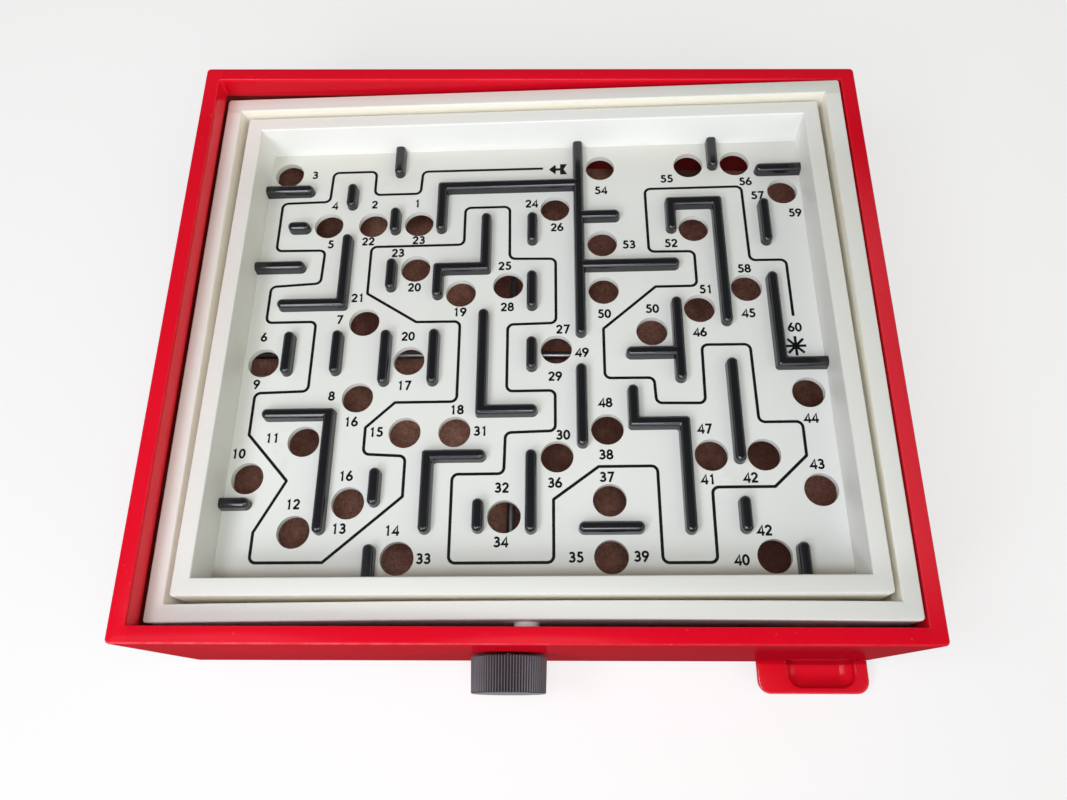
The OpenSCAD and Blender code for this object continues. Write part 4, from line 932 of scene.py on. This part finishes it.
def knobs():
    """Knob: a section with a soft face edge turned about the shaft. Its outside sinks between the ribs by the
    rib's depth times a wave of the angle, and narrows a little towards the face."""
    inner, face = KNOB_R - KNOB_WALL, KNOB_L - KNOB_WALL
    section, wear = soften(
        [(0, KNOB_L), (KNOB_R, KNOB_L), (KNOB_R, 0), (inner, 0), (inner, face), (HUB_R, face),
         (HUB_R, END_GAP - KNOB_GAP), (0, END_GAP - KNOB_GAP)], [0, 0.6, 0.5, 0.4, 0.6, 0.6, 0.3, 0], 6, closed=False)
    # Ribs lie on the outside only, and fade out just below the face
    skin = (section[:, :1] > KNOB_R - 0.55).astype(float)
    fade = skin * np.clip((KNOB_L - 0.1 - section[:, 1:]) / 0.4, 0, 1)

    def groove(angle, at):
        """How far the radius sinks at an angle and a point of the section."""
        taper = KNOB_TAPER * np.clip(at[:, 1:] / KNOB_L, 0, 1) * at[:, :1] / KNOB_R
        return -RIB_DEPTH * fade * (0.5 - 0.5 * np.cos(KNOB_RIBS * angle)) ** RIB_SHAPE - taper

    steps = KNOB_RIBS * RIB_POINTS
    angle = circle(steps)
    crest = fade * (0.5 + 0.5 * np.cos(KNOB_RIBS * angle)) ** 2 + (1 - fade) * 0.12
    shape = lathe(section, steps, crest, False, groove)
    front = along_y(shape, FRONT_X, -(BOX_D - lean(FRONT_Z)) - KNOB_GAP, FRONT_Z, -1)
    piece("front_knob_ribbed", [front], KNOB, "front_control", ["front_knob"])
    out = BOX_W - lean(SIDE_Z) + KNOB_GAP
    side = moved(shape, lambda p: stack(out + p[:, 2], p[:, 1] + SIDE_Y, SIDE_Z - p[:, 0]))
    piece("side_knob_ribbed", [side], KNOB, "side_control", ["side_knob"])


def knot(lug, aim, up):
    """Knot behind a lug: a bead of twisted strands, round at both ends, that swells in three rings."""
    q = np.linspace(0, 1, 26)
    path = lug + aim * (LUG_T / 2 + END_GAP + 0.2 + KNOT_L * q)[:, None]
    swell = KNOT_R * np.sqrt(np.maximum(1 - (2 * q - 1) ** 2, 0.03))
    swell = swell * (1 + 0.07 * np.cos(6 * np.pi * q))
    return tube(path, np.broadcast_to(up, path.shape), swell, 18, STRANDS, KNOT_LAY, KNOT_DEPTH)


def cord_and_spring(name, start, shaft, far, across, along, bodies):
    """Cord from its knot at one lug over the shaft's top, some turns round it and on to the spring at the other lug.
    The turns are a helix, which keeps its place as the shaft turns, because as much cord winds on as off. The runs
    are straight, and the spring is a helix on the second one. Bodies go from the box to the lugs."""
    across, along, up = (np.array(v, float) for v in (across, along, (0, 0, 1)))
    leave = shaft + WIND * along + WIND_R * up
    lead, coil = 4 * WIRE_R, SPRING_COILS * SPRING_PITCH
    near = far - unit(far - leave) * (coil + 4 * lead + 2 * LUG_T)
    slope = lambda v: np.arctan2(v @ up, v @ across)
    first = np.pi / 2 + slope(shaft + WIND_R * up - start)
    last = np.pi / 2 + slope(near - leave) - 2 * np.pi * CORD_TURNS
    t = np.linspace(0, 1, TURN_STEPS)[:, None]
    a = first + (last - first) * t
    radial = np.cos(a) * across + np.sin(a) * up
    turns = shaft + t * WIND * along + WIND_R * radial
    strands = {"lobes": STRANDS, "lay": CORD_LAY, "depth": STRAND_DEPTH}
    piece(name + "_cord_turns", [tube(turns, radial, CORD_R, 12, **strands)], STRING, bodies[0],
          [name + "_cord"], CORD_CREASE)
    side = lambda path: np.broadcast_to(up, path.shape)

    def run(piece_name, shaft_end, last_end, lug, knotted):
        """Straight run of cord from the shaft to a lug, in one length for each joint that it crosses. A length ends
        after whole turns of the strands. Gives the start of the last length."""
        aim, long = unit(last_end - shaft_end), np.linalg.norm(last_end - shaft_end)
        cuts = np.round(long * np.arange(1, len(bodies) - 1) / (len(bodies) - 1) / CORD_LAY) * CORD_LAY
        ends = [0, *cuts, long]
        for i, (first, last) in enumerate(zip(ends[:-1], ends[1:])):
            path = shaft_end + aim * np.linspace(first, last, int((last - first) / RUN_STEP))[:, None]
            shapes = [tube(path, side(path), CORD_R, 12, **strands)]
            if knotted and last == long:
                shapes.append(knot(lug, aim, up))
            label = piece_name + (f"_{i + 1}" if len(cuts) else "")
            made = piece(label, shapes, STRING, None, [name + "_cord"], CORD_CREASE)
            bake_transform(made)
        return path[0]

    run(name + "_cord_run", turns[0], start, start, True)
    bend = run(name + "_cord_to_spring", turns[-1], near, far, False)
    aim = unit(far - near)
    u = unit(up - (up @ aim) * aim)
    v = np.cross(aim, u)
    q = np.linspace(0, SPRING_COILS + 1, COIL_POINTS * (SPRING_COILS + 1) + 1)[:, None]
    r = SPRING_R * np.minimum(1, np.minimum(q + 0.2, SPRING_COILS + 1.2 - q) / 0.6)
    turn = 2 * np.pi * q
    helix = near + aim * (2 * lead + SPRING_PITCH * q) + r * (np.cos(turn) * u + np.sin(turn) * v)
    reach = np.linalg.norm(far - near) + LUG_T / 2 + END_GAP
    before = near + aim * np.linspace(-0.8, 1.6 * lead, 8)[:, None]
    after = near + aim * np.linspace(2 * lead + coil + SPRING_PITCH + 0.8, reach + 1.5, 12)[:, None]
    path = join([before, helix, after])
    wire = join([np.full(len(before) + len(helix) + 9, WIRE_R), [2.4 * WIRE_R, 3.0 * WIRE_R, 1.6 * WIRE_R]])
    made = piece(name + "_spring_wire", [tube(path, side(path) + 0.01 * across, wire, 10)], STEEL, None,
                 [name + "_spring"], CORD_CREASE)
    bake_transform(made)


def cords():
    """Both cords. The front one pulls the outer frame, the side one the inner frame."""
    start, far = (in_outer(np.array([*at, LUG_Z])) for at in FRONT_LUGS)
    cord_and_spring("front", start, np.array([FRONT_X, FRONT_CORD_Y, FRONT_Z]), far, (1, 0, 0), (0, 1, 0),
                    ("base", "roll_frame"))
    start, far = (in_inner(np.array([*at, LUG_Z])) for at in SIDE_LUGS)
    cord_and_spring("side", start, np.array([SIDE_CORD_X, SIDE_Y, SIDE_Z]), far, (0, 1, 0), (1, 0, 0),
                    ("base", "roll_frame", "pitch_frame"))


# ---- nodes that keep their CAD shape

KEPT = {
    "sloped_floor": BROWN, "maze_board": COATING,
    "outer_pivot_front": WHITE, "outer_pivot_rear": WHITE, "inner_pivot_left": WHITE, "inner_pivot_right": WHITE,
    "front_shaft": STEEL, "side_shaft": STEEL, "front_clip": STEEL, "side_clip": STEEL,
}


def dress_kept_nodes():
    """Gives the finish to each node whose CAD shape stays."""
    for name, finish in KEPT.items():
        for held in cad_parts[name].material_slots:
            held.material = finish


# ---- stage, light and camera

# Camera: millimetres, degrees about x, y and z, and millimetres of lens on a sensor 36 mm wide
CAMERA_AT = (4.3897, -170.509, 427.992)
CAMERA_TURN = (158.65867, 0.296682, 0.076194)
CAMERA_LENS = 28.557
STAGE_HALF, STAGE_CELLS, STAGE_SINK = 30, 8, 0.0002
AMBIENT, CEILING = 0.15, 0.15
SUN_SPREAD, LAMP_AIM = np.radians(50), (0, 0, 0.08)
WARM_ROOM, COOL_SKY, WARM_WALL = (1.0, 0.94, 0.76, 1), (0.96, 0.985, 1.06), (0.98, 0.975, 0.78)
# Lamps: name, kind, place in metres, power, spread or size, tint
LAMPS = [
    ("front", "SUN", (0.0, -0.9, 0.44), 1.05, SUN_SPREAD, COOL_SKY),
    ("right_front", "SUN", (0.7, -0.35, 0.62), 0.62, SUN_SPREAD, WARM_WALL),
    ("window", "RECTANGLE", (-0.45, -0.6, 0.65), 2.0, (0.24, 0.24), COOL_SKY),
    ("skylight", "RECTANGLE", (-0.35, -0.2, 0.7), 1.45, (0.24, 0.24), COOL_SKY),
    ("front_fill", "DISK", (0.004, -0.180, 0.448), 0.55, (0.15, 0.15), COOL_SKY),
]


def seen_rays(sheet):
    """1 for rays from the camera, in reflections and through glass, else 0."""
    seen, mirrored, through = (sheet.node("LightPath", output=i) for i in (0, 3, 6))
    either = sheet.node("Math", {0: seen, 1: mirrored}, operation="MAXIMUM")
    return sheet.node("Math", {0: either, 1: through}, operation="MAXIMUM")


def stage_floor():
    """Plain pale floor under the box. Light that it throws back on the box is that of a grey floor."""
    n = STAGE_CELLS + 1
    x, y = np.meshgrid(*[np.linspace(-STAGE_HALF, STAGE_HALF, n)] * 2, indexing="ij")
    mesh = bpy.data.meshes.new("floor")
    mesh.from_pydata(stack(x, y, 0 * x - STAGE_SINK).reshape(-1, 3).tolist(), [], cells(n, n).tolist())
    floor = put("floor", mesh)

    def pale_floor(s):
        """Mostly its own white, with some of the light that falls on it, so that shadows stay soft. Far away it is
        as white as the backdrop, and dark under the box."""
        x, y, _ = s.axes()
        seen, far = seen_rays(s), s.step(x ** 2.0 + y ** 2.0, 0.25, 6.0)
        paper = s.mix(s.noise(3, 2), grey(0.34), grey(0.36))
        white = s.mix(far, grey(0.64), grey(1))
        return {"Base Color": s.mix(seen, grey(0.2), s.mix(far, paper, grey(0))), "Roughness": 0.9,
                "Specular IOR Level": 0.0, "Emission Strength": 1.0,
                "Emission Color": s.mix(seen * (1 - s.within(0.1595, 0.137)), grey(0), white)}

    mesh.materials.append(finish_of(pale_floor))


def light():
    """Pale surroundings under a dim ceiling, wide soft light from the front, warmer light from a wall at the right,
    two windows at the left and a small soft lamp above the front that reaches through the holes."""
    world = bpy.data.worlds.new("surroundings")
    bpy.context.scene.world = world
    sheet = NodeSheet(world)
    height = sheet.node("SeparateXYZ", {0: sheet.node("TexCoord")}, 2)
    backdrop = sheet.step(height, 0.2, 0.75, 1.0, CEILING)
    glow = sheet.node("Background", {
        "Color": sheet.mix(seen_rays(sheet), WARM_ROOM, grey(1)),
        "Strength": AMBIENT + (backdrop - AMBIENT) * seen_rays(sheet)})
    sheet.node("OutputWorld", {"Surface": glow})
    for name, kind, at, level, size, tint in LAMPS:
        lamp = bpy.data.lights.new(name, "SUN" if kind == "SUN" else "AREA")
        lamp.energy, lamp.color = level, tint
        if kind == "SUN":
            lamp.angle = size
        else:
            lamp.shape, (lamp.size, lamp.size_y) = kind, size
        back = unit(np.array(at) - LAMP_AIM)
        right = unit(np.cross([0, 0, 1.0], back))
        put(name, lamp, stack(right, np.cross(back, right), back), at)


def aim_camera():
    """Camera at the photograph's place, turned so that its view has the photograph's perspective."""
    data = bpy.data.cameras.new("camera")
    data.sensor_fit, data.sensor_width, data.lens, data.clip_start = "HORIZONTAL", 36.0, CAMERA_LENS, 0.01
    seen = about("z", CAMERA_TURN[2]) @ about("y", CAMERA_TURN[1]) @ about("x", CAMERA_TURN[0])
    bpy.context.scene.camera = put("camera", data, seen.T @ np.diag([1, -1, -1]), np.array(CAMERA_AT) * MM)


bpy.context.scene.view_settings.view_transform = "Standard"
aim_camera()
light()
stage_floor()
box_walls()
box_fittings()
ball_tray()
frames()
ridges()
print_on_board()
knobs()
cords()
dress_kept_nodes()
